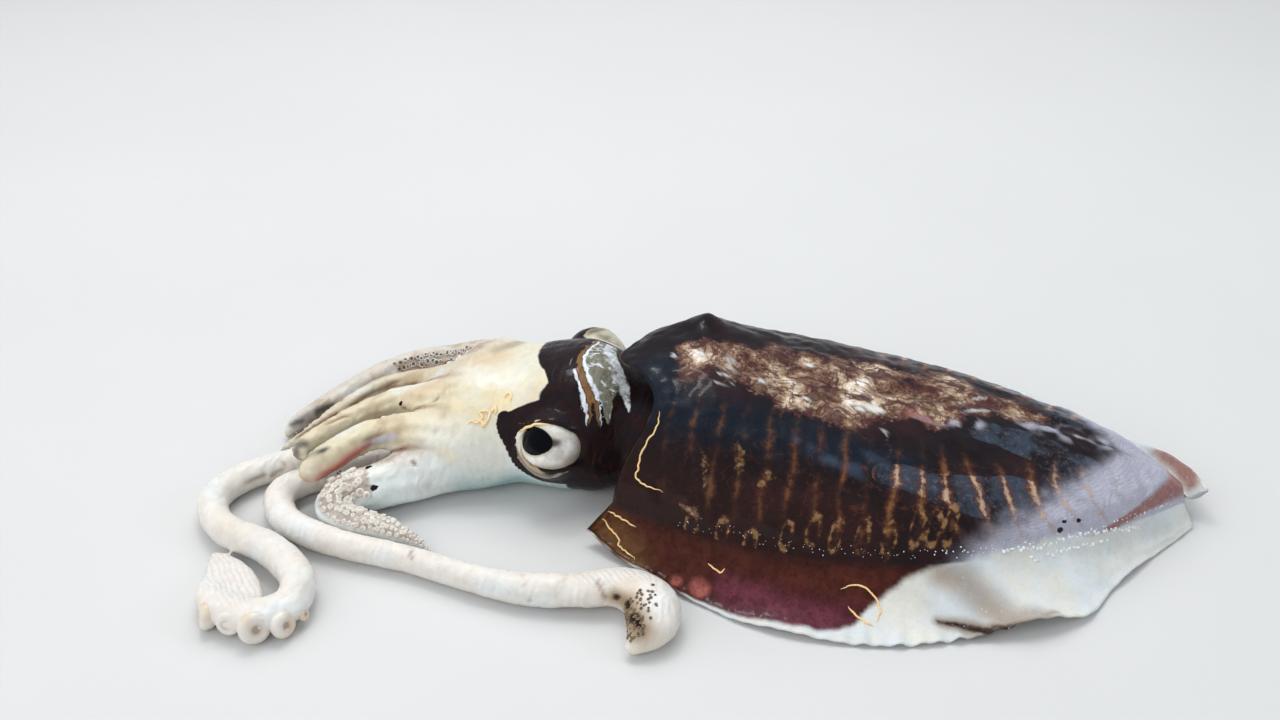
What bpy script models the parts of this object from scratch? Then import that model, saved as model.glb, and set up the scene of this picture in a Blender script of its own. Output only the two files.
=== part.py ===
"""A common cuttlefish, life size, lying on its belly with its arms and tentacles laid out.

Each named part of the body is one object and one closed solid. The frame has +X from the head to
the tail, +Y to the animal's right and +Z up. The origin is on the floor under the middle of the
mantle. Lists of places are in millimetres, and every mesh is in metres.
"""
import math
from collections import namedtuple

import bmesh
import bpy
from mathutils import Vector

MM = 0.001
GAP = 0.3                       # clearance between neighbouring parts, mm
FORWARD = (-1, 0, 0)            # the way the head points

# Mantle, mm
TAIL_X = 95.0                   # mantle length is TAIL_X minus LOBE_X
LOBE_X = -95.0                  # tip of the lobe in the middle of the back
LOBE_REACH = 17.0               # how far the lobe stands ahead of the margin beside it
CORNER_REACH = 10.0             # how far the margin comes forward again low on each side
HALF_WIDTHS = [(-95, 42), (-85, 45), (-70, 50), (-52, 55), (-25, 57), (0, 55), (17, 51.5),
               (35, 45.5), (50, 38), (63, 30), (72, 23.5), (82, 15), (90, 8.5), (95, 4)]
BACK_HEIGHTS = [(-95, 45), (-82, 49.5), (-68, 51), (-36, 45.5), (0, 39), (33, 33), (68, 26),
                (86, 19), (95, 13)]
SHOULDER_BUMP = (-69.0, 17.0, 9.0, 4.5)   # x, y, spread and lift of a knob on the far shoulder
MIDLINE = [(-95, -1), (-20, 0), (40, 2.5), (95, 8)]   # the tail lies a little to the right
SIDE_HEIGHTS = [(-95, 11), (0, 12), (60, 11), (95, 8)]
BELLY_STEEPNESS = 1.3           # above 1 the underside reaches the floor before the middle
MANTLE_RINGS = 26
FIN_ROOT_ANGLE = 4.0            # half of the band that carries a fin, degrees
BACK_COLUMNS = 14
BELLY_COLUMNS = 12
MANTLE_WALL = 4.5               # thickness of the free edge round the neck
POCKET_X = -72.0                # back of the pocket that the neck comes out of
POCKET_FLOOR = 3.4
NECK_FLOOR = 4.2

# Fins, mm; share is the way along the mantle from its front to its tail
FIN_WIDTHS = {-1: [(0, 9), (0.10, 11.5), (0.19, 16), (0.27, 20.5), (0.46, 24), (0.6, 22), (0.74, 22),
                  (0.82, 14), (0.88, 10), (0.95, 7.5), (1, 5.5)],
              1: [(0, 9), (0.10, 11.5), (0.19, 16), (0.27, 20.5), (0.46, 24), (0.6, 23), (0.74, 20),
                  (0.82, 16), (0.88, 13), (0.95, 11.5), (1, 9)]}
FIN_EDGE = 1.0                  # thickness at the outer edge
FIN_ROWS = 5
FIN_FOLDS = [(0.0, 4.5, 0.05), (0.12, 1.2, 0.05), (0.33, 1.6, 0.06), (0.68, 5.0, 0.06), (0.86, 1.5, 0.04)]
TAIL_FOLD = (1.0, 11.0, 0.16)   # the right fin stands up round the end of the tail
TAIL_TURN = Vector((0.85, -0.5, 0))

# Neck, head and eyes, mm
NECK_X = -97.0
CROWN_X = -146.0                # the plane that the arms grow from
HEAD_STATIONS = [(-97, 29, 40, 13), (-102, 31, 42, 13.5), (-109, 32, 43, 14),
                 (-116, 32, 42, 14), (-124, 31.5, 39.8, 14), (-132, 31.5, 37.4, 13.5),
                 (-139, 32.5, 36.5, 13), (-144, 34, 36, 12), (-146, 33.5, 35.5, 11.5)]
EYE_PLACES = {-1: (-113.0, -26.5, 21.5), 1: (-110.5, 27.0, 24.5)}   # the head lies tipped a little
EYE_RADIUS = 10.8
LID_RADIUS = 12.2
EYE_AIM = (0.02, 0.86, 0.50)
LID_OPENING = (10.0, 7.9)

# Funnel under the head, mm: x, z, half width, half height
FUNNEL = [(-72.3, 9.5, 11, 5.4), (-84, 9.0, 10.5, 5.0), (-94, 7.0, 9, 4.8), (-104, 5.6, 7.5, 4.2),
          (-113, 5.0, 6.2, 3.7)]
FUNNEL_MOUTH = 3.4
FUNNEL_BORE = 9.0

# Arms: route holds x, y, z and radius in mm, and oral is the side that the suckers face
Arm = namedtuple("Arm", "route oral pairs")
ARM_SIDES = 9
ARM_STEP = 6.2
SUCKER_SIDES = 6
SUCKER_RADIUS = 2.1
SUCKER_TIP_RADIUS = 0.9
CUP_HEIGHT = 0.6                # a cup stands this share of its radius off the skin
SUCKER_SPREAD = 0.50            # angle of each row from the middle of the oral side, radians
ARM_CUT = 0.36                  # where the folded arm is divided, as a share of its length
FOLDED = "arm_left_4"
FOLDED_TIP_ORAL = (0.3, -0.2, 1)
ARMS = {
    "arm_left_1": Arm([(-146.3, -3.2, 29.4, 5.8), (-155, 1, 25.3, 5.2), (-168, 7.5, 19, 4.3),
                       (-185, 4.5, 16.5, 3.6), (-197, -7, 12.8, 3.0), (-206, -18.5, 8.5, 2.3),
                       (-214, -26, 4.6, 1.2)], (0, 0.2, -1), 8),
    "arm_left_2": Arm([(-146.3, -15.8, 26.8, 5.7), (-158, -10.5, 23.5, 5.0), (-173, -8.5, 19.2, 4.5),
                       (-183, -13.5, 18, 4.2), (-191, -22, 16.4, 3.8), (-198, -32, 15.2, 3.2),
                       (-200.5, -38, 14.4, 2.7), (-197, -41, 13.8, 1.5)], (0, 0.2, -1), 8),
    "arm_left_3": Arm([(-146.3, -28, 20.6, 5.2), (-154, -26, 20, 5.2), (-167, -26.5, 19, 5.2),
                       (-177, -30, 18.6, 5.2), (-183, -36.5, 17.6, 5.1), (-188.5, -44, 16, 5.0),
                       (-191.5, -49, 14.6, 4.0)], (0, 0.9, -0.5), 5),
    "arm_left_4": Arm([(-146.3, -28.4, 7.8, 7.0), (-155, -33.5, 8.0, 7.7), (-166, -41, 8.0, 7.9),
                       (-175, -47, 7.8, 7.3), (-181.5, -52.5, 6.8, 6.2), (-180, -58.7, 5.8, 5.4),
                       (-171, -60.8, 5.0, 5.0), (-160, -61.8, 4.3, 4.2), (-150, -64, 3.2, 3.0),
                       (-143, -66.5, 2.2, 1.3)], (0, 1, 0.5), 11),
    "arm_right_1": Arm([(-146.3, 10.8, 28.4, 5.6), (-155, 15, 19.5, 5.1), (-165, 14.8, 11, 4.7),
                        (-174, 13.5, 6.2, 4.5), (-186, 10, 4.6, 4.1), (-199, 3, 3.8, 3.3),
                        (-210, -6, 2.6, 1.4)], (0, -0.3, 1), 5),
    "arm_right_2": Arm([(-146.3, 23.7, 22, 5.7), (-157, 33.5, 16.2, 5.3), (-169, 37.5, 11, 5.5),
                        (-184, 36, 7.8, 5.3), (-196, 29, 6.0, 4.6), (-205, 16, 5.0, 4.2),
                        (-212, 3, 4.2, 3.6), (-217, -8, 3.4, 3.0), (-218, -14, 2.5, 1.6)],
                       (0, -1, 0.15), 11),
    "arm_right_3": Arm([(-146.3, 27, 8.6, 5.8), (-158, 26.5, 5.9, 5.3), (-172, 24.5, 4.9, 4.8),
                        (-184, 20.5, 4.2, 4.1), (-195, 14.5, 3.0, 2.4)], (0, -0.4, 1), 4),
    "arm_right_4": Arm([(-146.3, 12.4, 7.2, 5.9), (-156, 7, 5.8, 5.3), (-166, 2.5, 5.1, 5.0),
                        (-178, -2, 4.6, 4.5), (-190, -6, 4.0, 3.8), (-201, -13, 2.8, 1.8)],
                       (0, 0.2, 1), 4),
}

# Tentacles: x, y, z and radius in mm; each stalk is cut where its shares of the route say
STALK_SIDES = 9
STALK_STEP = 5.2
STALKS = {
    "tentacle_left": ([(-146.3, -10.5, 6, 4.6), (-156, -15, 5, 4.7), (-165, -19, 4.7, 4.8),
                       (-176, -25, 4.7, 4.8), (-187, -33, 4.7, 4.9), (-197, -41.5, 4.8, 5.1),
                       (-202.5, -50, 4.9, 5.2), (-200, -58, 4.8, 5.2), (-193, -65, 4.7, 5.0),
                       (-181, -69.5, 4.6, 4.8), (-168, -72, 4.4, 4.6), (-150, -73.5, 4.2, 4.4),
                       (-137, -76, 4.2, 4.4), (-122, -79, 4.4, 4.7), (-109, -80.5, 4.8, 5.1),
                       (-98, -79.5, 5.2, 5.6)], (0.27, 0.60)),
    "tentacle_right": ([(-146.3, 0.5, 6, 4.6), (-156, -4.5, 5, 4.7), (-165, -8.5, 4.6, 4.8),
                        (-176, -13.5, 4.6, 4.8), (-190, -21, 4.6, 4.8), (-200, -28, 4.7, 4.9),
                        (-208.5, -34.5, 4.8, 5.0), (-217, -42, 4.9, 5.1), (-222.5, -51, 5, 5.2),
                        (-223, -60, 5, 5.2), (-218, -68, 5, 5.2), (-210.5, -73.5, 5, 5.3),
                        (-203, -76, 5, 5.4), (-195, -78.5, 5.1, 5.5), (-186.5, -83.5, 5.3, 5.7),
                        (-178, -91, 5.4, 5.6), (-175.2, -98.5, 5.5, 5.7)], (0.37, 0.72)),
}

# Clubs at the tentacles' ends, mm
CLUBS = {
    "tentacle_left": [(-88, -77, 5.4, 6.6), (-80.5, -74.5, 5.6, 7.2), (-73, -76, 5.7, 8.0),
                      (-67.8, -81, 5.7, 8.6), (-66.5, -87.5, 5.4, 8.2), (-68, -93, 4.4, 6.0),
                      (-70, -96.5, 3.4, 3.0)],
    "tentacle_right": [(-175.8, -103.5, 5.4, 6.2), (-182, -109, 5.3, 6.3), (-190, -109, 5.2, 6.4),
                       (-197, -106.5, 5.0, 6.0), (-202, -101.5, 4.6, 5.0), (-205, -97.5, 4.2, 3.0)],
}
CLUB_HEIGHT = 0.74              # a club's height is this share of its width
BLADE_ROUTE = [(-190, -106, 4, 7.6), (-196, -99, 4, 8.6), (-201.5, -92.5, 3.7, 7.6),
               (-207, -86.5, 3, 4.8), (-211, -82.5, 2.2, 2.2), (-213, -80.6, 1.6, 0.8)]
BLADE_HEIGHT = 0.42
BIG_SUCKERS = [(-197.5, -111.0, 4.2, 2.8), (-190.5, -113.0, 4.8, 4.3), (-181.5, -113.6, 5.0, 4.7),
               (-173.6, -109.4, 4.4, 3.4), (-170.6, -103.6, 3.8, 2.4)]
CLUB_ORAL = (-1.0, -0.15, 0.30)
CLUB_SUCKER = 1.35
CLUB_ROWS = (-0.62, -0.05, 0.52)
CLUB_SIDES = 10

COLOURS = {
    "mantle": (0.055, 0.030, 0.035), "fin": (0.30, 0.20, 0.21), "neck": (0.52, 0.50, 0.47),
    "head": (0.66, 0.62, 0.50), "eye": (0.42, 0.43, 0.42), "funnel": (0.60, 0.62, 0.62),
    "arm": (0.72, 0.68, 0.56), "tentacle": (0.80, 0.77, 0.70),
}


def smooth(stations, t):
    """The value at t of a curve through (t, value) pairs that never overshoots them."""
    if t <= stations[0][0]:
        return stations[0][1]
    if t >= stations[-1][0]:
        return stations[-1][1]
    rises = [(b[1] - a[1]) / (b[0] - a[0]) for a, b in zip(stations, stations[1:])]
    slopes = [rises[0]]
    for before, after in zip(rises, rises[1:]):
        level = before * after <= 0
        slopes.append(0.0 if level else 2 * before * after / (before + after))
    slopes.append(rises[-1])
    for i, (a, b) in enumerate(zip(stations, stations[1:])):
        if t <= b[0]:
            span = b[0] - a[0]
            u = (t - a[0]) / span
            return ((1 + 2 * u) * (1 - u) ** 2 * a[1] + u * (1 - u) ** 2 * span * slopes[i]
                    + u * u * (3 - 2 * u) * b[1] - u * u * (1 - u) * span * slopes[i + 1])


def route_samples(points, step):
    """Evenly spaced (place, radius) samples of a smooth curve through x, y, z, radius points."""
    knots = [Vector(p) for p in points]
    fine = []
    for i in range(len(knots) - 1):
        a, b = knots[i], knots[i + 1]
        before = knots[i - 1] if i else a * 2 - b
        after = knots[i + 2] if i + 2 < len(knots) else b * 2 - a
        for k in range(20):
            u = k / 20
            fine.append(0.5 * (2 * a + (b - before) * u + (2 * before - 5 * a + 4 * b - after) * u * u
                               + (3 * a - before - 3 * b + after) * u ** 3))
    fine.append(knots[-1])
    walked = [0.0]
    for a, b in zip(fine, fine[1:]):
        walked.append(walked[-1] + (b.xyz - a.xyz).length)
    count = max(3, round(walked[-1] / step))
    samples = []
    j = 0
    for i in range(count + 1):
        goal = walked[-1] * i / count
        while j < len(fine) - 2 and walked[j + 1] < goal:
            j += 1
        u = (goal - walked[j]) / max(walked[j + 1] - walked[j], 1e-9)
        here = fine[j].lerp(fine[j + 1], min(max(u, 0.0), 1.0))
        samples.append((here.xyz, here.w))
    return samples


def route_frames(samples, first_tangent=None):
    """A tangent and an up direction at each sample, carried along without needless twist."""
    frames = []
    up = Vector((0, 0, 1))
    for i in range(len(samples)):
        ahead = samples[min(i + 1, len(samples) - 1)][0]
        behind = samples[max(i - 1, 0)][0]
        tangent = (ahead - behind).normalized()
        if i == 0:
            tangent = Vector(first_tangent) if first_tangent else (ahead - behind).normalized()
        up = (up - tangent * up.dot(tangent)).normalized()
        frames.append((tangent, up.copy()))
    return frames


def tube_rings(samples, frames, sides, height=1.0):
    """Rings of points round a route; a ring that meets the floor is flattened onto it."""
    rings = []
    for (place, radius), (tangent, up) in zip(samples, frames):
        side = tangent.cross(up)
        ring = []
        for k in range(sides):
            angle = 2 * math.pi * (k + 0.5) / sides
            point = place + side * (radius * math.cos(angle)) + up * (radius * height * math.sin(angle))
            point.z = max(point.z, 0.0)
            ring.append(point)
        rings.append(ring)
    return rings


def rounded_end(samples, frames, sides, height=1.0):
    """Two smaller rings and a tip point past the last sample."""
    (place, radius), frame = samples[-1], frames[-1]
    caps = [(place + frame[0] * radius * 0.55, radius * 0.80),
            (place + frame[0] * radius * 0.90, radius * 0.42)]
    rings = tube_rings(caps, [frame, frame], sides, height)
    tip = place + frame[0] * radius
    tip.z = max(tip.z, 0.15)
    return rings, tip


def object_from(name, points, faces, kind):
    """A closed mesh object in metres from points in millimetres, with its own material."""
    mesh = bpy.data.meshes.new(name)
    mesh.from_pydata([Vector(p) * MM for p in points], [], faces)
    shape = bmesh.new()
    shape.from_mesh(mesh)
    bmesh.ops.triangulate(shape, faces=[f for f in shape.faces if len(f.verts) > 4])
    bmesh.ops.recalc_face_normals(shape, faces=shape.faces)
    shape.to_mesh(mesh)
    shape.free()
    mesh.shade_smooth()
    made = bpy.data.objects.new(name, mesh)
    bpy.context.scene.collection.objects.link(made)
    if kind:
        mesh.materials.append(finish(name, kind))
    return made


def finish(name, kind):
    """A wet skin material in the part's own colour."""
    material = bpy.data.materials.new(name)
    material.use_nodes = True
    shader = material.node_tree.nodes["Principled BSDF"]
    shader.inputs["Base Color"].default_value = (*COLOURS[kind], 1)
    shader.inputs["Roughness"].default_value = 0.15 if kind == "eye" else 0.32
    shader.inputs["Metallic"].default_value = 0.0
    return material


def loft(name, rings, kind, start_tip=None, end_tip=None):
    """A closed skin over rings of equal count, ended by a flat face or by a tip point."""
    points = [p for ring in rings for p in ring]
    count = len(rings[0])
    faces = []
    for i in range(len(rings) - 1):
        for k in range(count):
            m = (k + 1) % count
            faces.append((i * count + k, i * count + m, (i + 1) * count + m, (i + 1) * count + k))
    last = (len(rings) - 1) * count
    if start_tip is None:
        faces.append(tuple(range(count)))
    else:
        points.append(start_tip)
        faces += [(len(points) - 1, (k + 1) % count, k) for k in range(count)]
    if end_tip is None:
        faces.append(tuple(reversed(range(last, last + count))))
    else:
        points.append(end_tip)
        faces += [(len(points) - 1, last + k, last + (k + 1) % count) for k in range(count)]
    return object_from(name, points, faces, kind)


def apply_boolean(target, tools, operation, solver="EXACT"):
    """Joins or cuts with a collection of closed meshes, applies it and removes the tools."""
    group = bpy.data.collections.new("tools_of_" + target.name)
    for tool in tools:
        group.objects.link(tool)
    cut = target.modifiers.new("joined", "BOOLEAN")
    cut.operation = operation
    cut.operand_type = "COLLECTION"
    cut.collection = group
    cut.solver = solver
    bpy.context.view_layer.update()
    seen = target.evaluated_get(bpy.context.evaluated_depsgraph_get())
    result = bpy.data.meshes.new_from_object(seen)
    target.modifiers.clear()
    old = target.data
    target.data = result
    bpy.data.meshes.remove(old)
    for tool in tools:
        bpy.data.objects.remove(tool)
    bpy.data.collections.remove(group)
    keep_largest(target)


def keep_largest(target):
    """Drops every closed surface of the mesh but the one with the most volume."""
    shape = bmesh.new()
    shape.from_mesh(target.data)
    bmesh.ops.triangulate(shape, faces=shape.faces)
    left = set(shape.faces)
    islands = []
    while left:
        stack = [left.pop()]
        island = []
        while stack:
            face = stack.pop()
            island.append(face)
            for edge in face.edges:
                for other in edge.link_faces:
                    if other in left:
                        left.remove(other)
                        stack.append(other)
        islands.append(island)
    sizes = [abs(sum(f.verts[0].co.dot(f.verts[1].co.cross(f.verts[2].co)) for f in island))
             for island in islands]
    biggest = sizes.index(max(sizes))
    for i, island in enumerate(islands):
        if i != biggest:
            bmesh.ops.delete(shape, geom=island, context="FACES")
    bmesh.ops.dissolve_degenerate(shape, dist=1e-6, edges=shape.edges)
    bmesh.ops.triangulate(shape, faces=shape.faces)
    shape.to_mesh(target.data)
    shape.free()


def section(x, half_width, top, side, angle, middle=0.0, shrink=0.0, floor=0.0):
    """A point of the body's section: an arch above its widest line and a flat belly below."""
    y = middle + (half_width - shrink) * math.cos(angle)
    if math.sin(angle) >= 0:
        z = side + (top - shrink - side) * math.sin(angle)
    else:
        z = max(floor, side - side * BELLY_STEEPNESS * abs(math.sin(angle)))
    return Vector((x, y, z))


def mantle_columns():
    """The angles of the mantle's lines: a narrow band on each side carries the fin."""
    band = math.radians(FIN_ROOT_ANGLE)
    back = math.pi - 2 * band
    over = [band + back * k / BACK_COLUMNS for k in range(BACK_COLUMNS + 1)]
    under = [math.pi + band + back * k / BELLY_COLUMNS for k in range(BELLY_COLUMNS + 1)]
    return over + under


def mantle_shares():
    """The way from front to tail of each ring, closer together at both ends."""
    shares = []
    for i in range(MANTLE_RINGS + 1):
        even = i / MANTLE_RINGS
        shares.append(even + 0.055 * math.sin(2 * math.pi * (even - 0.5)))
    return shares


def front_margin(angle):
    """Where the free front edge stands at this angle: a lobe on the back, corners low down."""
    across = abs(math.cos(angle))
    if math.sin(angle) > 0:
        away = min(across / 0.56, 1.0)
        lobe = LOBE_REACH * (1 - away * away * (3 - 2 * away))
        low = max(0.0, (across - 0.6) / 0.4)
        return LOBE_X + LOBE_REACH - lobe - CORNER_REACH * low ** 1.5
    return LOBE_X + LOBE_REACH - CORNER_REACH * across ** 2


def mantle_point(share, angle):
    """A point of the mantle's skin at a share of its length and an angle round it."""
    start = front_margin(angle)
    x = start + (TAIL_X - start) * share
    point = section(x, smooth(HALF_WIDTHS, x), smooth(BACK_HEIGHTS, x), smooth(SIDE_HEIGHTS, x),
                    angle, smooth(MIDLINE, x))
    if math.sin(angle) > 0.3:
        bump_x, bump_y, spread, lift = SHOULDER_BUMP
        away = ((x - bump_x) ** 2 + (point.y - bump_y) ** 2) / spread ** 2
        point.z += lift * math.exp(-away)
    return point


def make_mantle():
    """The body sack, with the pocket behind its free front edge."""
    columns = mantle_columns()
    rings = [[mantle_point(share, angle) for angle in columns] for share in mantle_shares()]
    centre = Vector((TAIL_X + 0.3, smooth(MIDLINE, TAIL_X), 0.5 * smooth(BACK_HEIGHTS, TAIL_X)))
    mantle = loft("mantle", rings, "mantle", end_tip=centre)
    pocket_rings = []
    for x, shrink in ((LOBE_X - 12, 0), (-90, 0), (-82, 0), (POCKET_X - 3, 1), (POCKET_X, 4)):
        ring = []
        for k in range(28):
            angle = 2 * math.pi * k / 28
            ring.append(section(x, smooth(HALF_WIDTHS, x), smooth(BACK_HEIGHTS, x), 12.0, angle,
                                smooth(MIDLINE, x), MANTLE_WALL + shrink, POCKET_FLOOR))
        pocket_rings.append(ring)
    apply_boolean(mantle, [loft("pocket", pocket_rings, None)], "DIFFERENCE")
    return mantle


def fin_section(share, direction):
    """Upper and lower points across a fin, from its root on the mantle to its edge."""
    band = math.radians(FIN_ROOT_ANGLE)
    angles = (band, -band) if direction > 0 else (math.pi - band, math.pi + band)
    high, low = (mantle_point(share, angle) for angle in angles)
    ahead = mantle_point(min(share + 0.02, 1), angles[0])
    behind = mantle_point(max(share - 0.02, 0), angles[0])
    run = (ahead - behind).xy.normalized()
    out = Vector((run.y, -run.x, 0)) if direction < 0 else Vector((-run.y, run.x, 0))
    out = out.lerp(Vector((-0.95, 0.3 * direction, 0)), max(0, 0.85 - share * 9)).normalized()
    folds = list(FIN_FOLDS)
    if direction > 0:
        out = out.lerp(TAIL_TURN, max(0, share * 12 - 11)).normalized()
        folds.append(TAIL_FOLD)
    width = smooth(FIN_WIDTHS[direction], share)
    upper, lower = [], []
    for row in range(FIN_ROWS + 1):
        v = row / FIN_ROWS
        reach = GAP + 0.1 + width * v
        fold = sum(lift * math.exp(-((share - at) / spread) ** 2) for at, lift, spread in folds)
        rise = fold * v * v
        thick = (high.z - low.z) * (1 - v) ** 1.5 + FIN_EDGE * v
        base = low.z * (1 - v) ** 1.7 + rise
        lower.append(Vector((low.x, low.y, 0)) + out * reach + Vector((0, 0, base)))
        upper.append(Vector((high.x, high.y, 0)) + out * reach + Vector((0, 0, base + thick)))
    return upper, lower


def make_fin(name, direction):
    """A fin as a thin vane along the whole side, both faces split alike."""
    shares = mantle_shares()
    across = FIN_ROWS + 1
    points, faces = [], []
    for share in shares:
        upper, lower = fin_section(share, direction)
        points += upper + lower
    per = 2 * across
    for i in range(len(shares) - 1):
        a, b = i * per, (i + 1) * per
        for row in range(FIN_ROWS):
            for start in (0, across):
                p, q = a + start + row, b + start + row
                faces += [(p, q, q + 1), (p, q + 1, p + 1)]
        for row in (0, FIN_ROWS):
            p, q = a + row, b + row
            faces += [(p, q, q + across), (p, q + across, p + across)]
    for start in (0, (len(shares) - 1) * per):
        for row in range(FIN_ROWS):
            p = start + row
            faces += [(p, p + 1, p + 1 + across), (p, p + 1 + across, p + across)]
    return object_from(name, points, faces, "fin")


def head_rings(stations, columns):
    """Rings of the head's section at stations of x, half width, top and side height."""
    return [[section(x, width, top, side, 2 * math.pi * (k + 0.5) / columns) for k in range(columns)]
            for x, width, top, side in stations]


def ball(name, centre, radius, kind, columns=16, rows=10):
    """A round body of latitude rings about the vertical."""
    rings = []
    for i in range(1, rows):
        lift = math.pi * i / rows
        rings.append([centre + radius * Vector((math.sin(lift) * math.cos(2 * math.pi * k / columns),
                                                math.sin(lift) * math.sin(2 * math.pi * k / columns),
                                                -math.cos(lift)))
                      for k in range(columns)])
    bottom = centre - Vector((0, 0, radius))
    top = centre + Vector((0, 0, radius))
    return loft(name, rings, kind, bottom, top)


def eye_centre(direction):
    """The middle of an eyeball on the animal's left (-1) or right (1)."""
    return Vector(EYE_PLACES[direction])


def lid_cutter(direction):
    """A flared oval that opens the lids in front of an eyeball."""
    aim = Vector((EYE_AIM[0], EYE_AIM[1] * direction, EYE_AIM[2])).normalized()
    along = (Vector((1, 0, 0)) - aim * aim.x).normalized()
    across = aim.cross(along)
    rings = []
    for reach, grow in ((2.0, 0.80), (10.0, 1.0), (16.0, 1.25)):
        rings.append([eye_centre(direction) + aim * reach
                      + along * (LID_OPENING[0] * grow * math.cos(2 * math.pi * k / 20))
                      + across * (LID_OPENING[1] * grow * math.sin(2 * math.pi * k / 20))
                      for k in range(20)])
    return loft("lid_cutter", rings, None)


def funnel_rings(grow):
    """Rings of the funnel, from the pocket to its mouth."""
    rings = []
    for x, z, half_width, half_height in FUNNEL:
        rings.append([Vector((x, (half_width + grow) * math.cos(2 * math.pi * k / 14),
                              z + (half_height + grow) * math.sin(2 * math.pi * k / 14)))
                      for k in range(14)])
    return rings


def funnel_groove():
    """The funnel's shape with clearance, longer at both ends, to cut the parts above it."""
    rings = funnel_rings(GAP + 0.1)
    back = [p + Vector((4, 0, 0)) for p in rings[0]]
    front = [p - Vector((1.5, 0, 0)) for p in rings[-1]]
    return loft("groove", [back] + rings + [front], None)


def make_funnel():
    """The siphon below the neck, open at its mouth."""
    funnel = loft("funnel", funnel_rings(0.0), "funnel")
    x, z, _, half_height = FUNNEL[-1]
    bore = []
    for reach, radius in ((-2.0, FUNNEL_MOUTH), (0.0, FUNNEL_MOUTH), (FUNNEL_BORE, FUNNEL_MOUTH * 0.6)):
        bore.append([Vector((x + reach, 1.3 * radius * math.cos(2 * math.pi * k / 12),
                             z + 0.72 * radius * math.sin(2 * math.pi * k / 12)))
                     for k in range(12)])
    apply_boolean(funnel, [loft("bore", bore, None)], "DIFFERENCE")
    return funnel


def make_head():
    """The head with raised lids, eye sockets and the groove that the funnel lies in."""
    head = loft("head", head_rings(HEAD_STATIONS, 26), "head")
    lids = [ball("lid", eye_centre(d) - Vector((0, d * 0.6, 0)), LID_RADIUS, None) for d in (-1, 1)]
    apply_boolean(head, lids, "UNION")
    tools = [ball("socket", eye_centre(d), EYE_RADIUS + GAP + 0.15, None) for d in (-1, 1)]
    tools += [lid_cutter(d) for d in (-1, 1)]
    tools.append(funnel_groove())
    apply_boolean(head, tools, "DIFFERENCE")
    return head


def make_neck():
    """The short neck between the head and the floor of the mantle's pocket."""
    x, width, top, side = HEAD_STATIONS[0]
    stations = [(NECK_X + GAP, width - 0.5, top - 0.5, side), (-90, 25.5, 35, 13.5),
                (-81, 26.5, 36, 14), (POCKET_X - GAP, 27, 35, 14)]
    rings = []
    for x, width, top, side in stations:
        ring = []
        for k in range(26):
            point = section(x, width, top, side, 2 * math.pi * (k + 0.5) / 26)
            point.z = max(point.z, NECK_FLOOR)
            ring.append(point)
        rings.append(ring)
    neck = loft("neck", rings, "neck")
    apply_boolean(neck, [funnel_groove()], "DIFFERENCE")
    return neck


def make_sucker(place, outward, along, radius, height):
    """A cup of few sides with its root sunk into the skin and a hollow in its face."""
    side = outward.cross(along).normalized()
    along = side.cross(outward).normalized()
    turn = 2 * math.pi / SUCKER_SIDES
    rings = []
    for reach, grow in ((-1.1 * radius, 0.70), (height, 1.0), (height, 0.60)):
        rings.append([place + outward * reach
                      + (along * math.cos(turn * k) + side * math.sin(turn * k)) * radius * grow
                      for k in range(SUCKER_SIDES)])
    return loft("sucker", rings, None, end_tip=place + outward * (height - 0.45 * radius))


def skin_sucker(place, radius, frame, out, cup, height=1.0):
    """A sucker on a tube's skin in the direction out from its middle."""
    tangent, up = frame
    side = tangent.cross(up)
    flat = math.hypot(out.dot(side), out.dot(up) / height)
    skin = place + out * (radius / flat * 0.94)
    return make_sucker(skin, out, tangent, cup, cup * CUP_HEIGHT)


def square_to(direction, tangent):
    """The part of a direction that lies across the tangent, at unit length."""
    direction = Vector(direction)
    return (direction - tangent * direction.dot(tangent)).normalized()


def oral_suckers(samples, frames, arm, cut):
    """Pairs of suckers from near the root to the tip, for each side of the arm's division."""
    groups = ([], [])
    last = len(samples) - 1
    for n in range(arm.pairs):
        share = 0.06 + 0.90 * ((n + 0.5) / arm.pairs) ** 0.92
        at = share * last
        i = min(int(at), last - 1)
        place = samples[i][0].lerp(samples[i + 1][0], at - i)
        radius = samples[i][1] + (samples[i + 1][1] - samples[i][1]) * (at - i)
        tangent = frames[i][0]
        beyond = cut is not None and at > cut
        if cut is not None and abs(at - cut) < 0.5:
            continue
        middle = square_to(FOLDED_TIP_ORAL if beyond else arm.oral, tangent)
        across = tangent.cross(middle)
        cup = min(SUCKER_RADIUS + (SUCKER_TIP_RADIUS - SUCKER_RADIUS) * share, radius * 0.42)
        for row in (-1, 1):
            out = middle * math.cos(SUCKER_SPREAD) + across * (row * math.sin(SUCKER_SPREAD))
            spot = place + tangent * (row * cup * 0.7)
            if spot.z + out.z * radius - cup > 0.4:
                groups[beyond].append(skin_sucker(spot, radius, frames[i], out, cup))
    return groups


def make_arm(name, arm):
    """An arm that tapers to its tip, with two rows of suckers fused to it."""
    samples = route_samples(arm.route, ARM_STEP)
    frames = route_frames(samples, FORWARD)
    rings = tube_rings(samples, frames, ARM_SIDES)
    end_rings, tip = rounded_end(samples, frames, ARM_SIDES)
    cut = round(ARM_CUT * (len(samples) - 1)) if name == FOLDED else None
    near, far = oral_suckers(samples, frames, arm, cut)
    if cut is None:
        whole = loft(name, rings + end_rings, "arm", end_tip=tip)
        apply_boolean(whole, near, "UNION")
        return
    base = loft(name, rings[:cut + 1], "arm")
    apply_boolean(base, near, "UNION")
    outer = rings[cut:]
    outer[0] = [point + frames[cut][0] * GAP for point in outer[0]]
    end = loft(name + "_tip", outer + end_rings, "arm", end_tip=tip)
    apply_boolean(end, far, "UNION")


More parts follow.
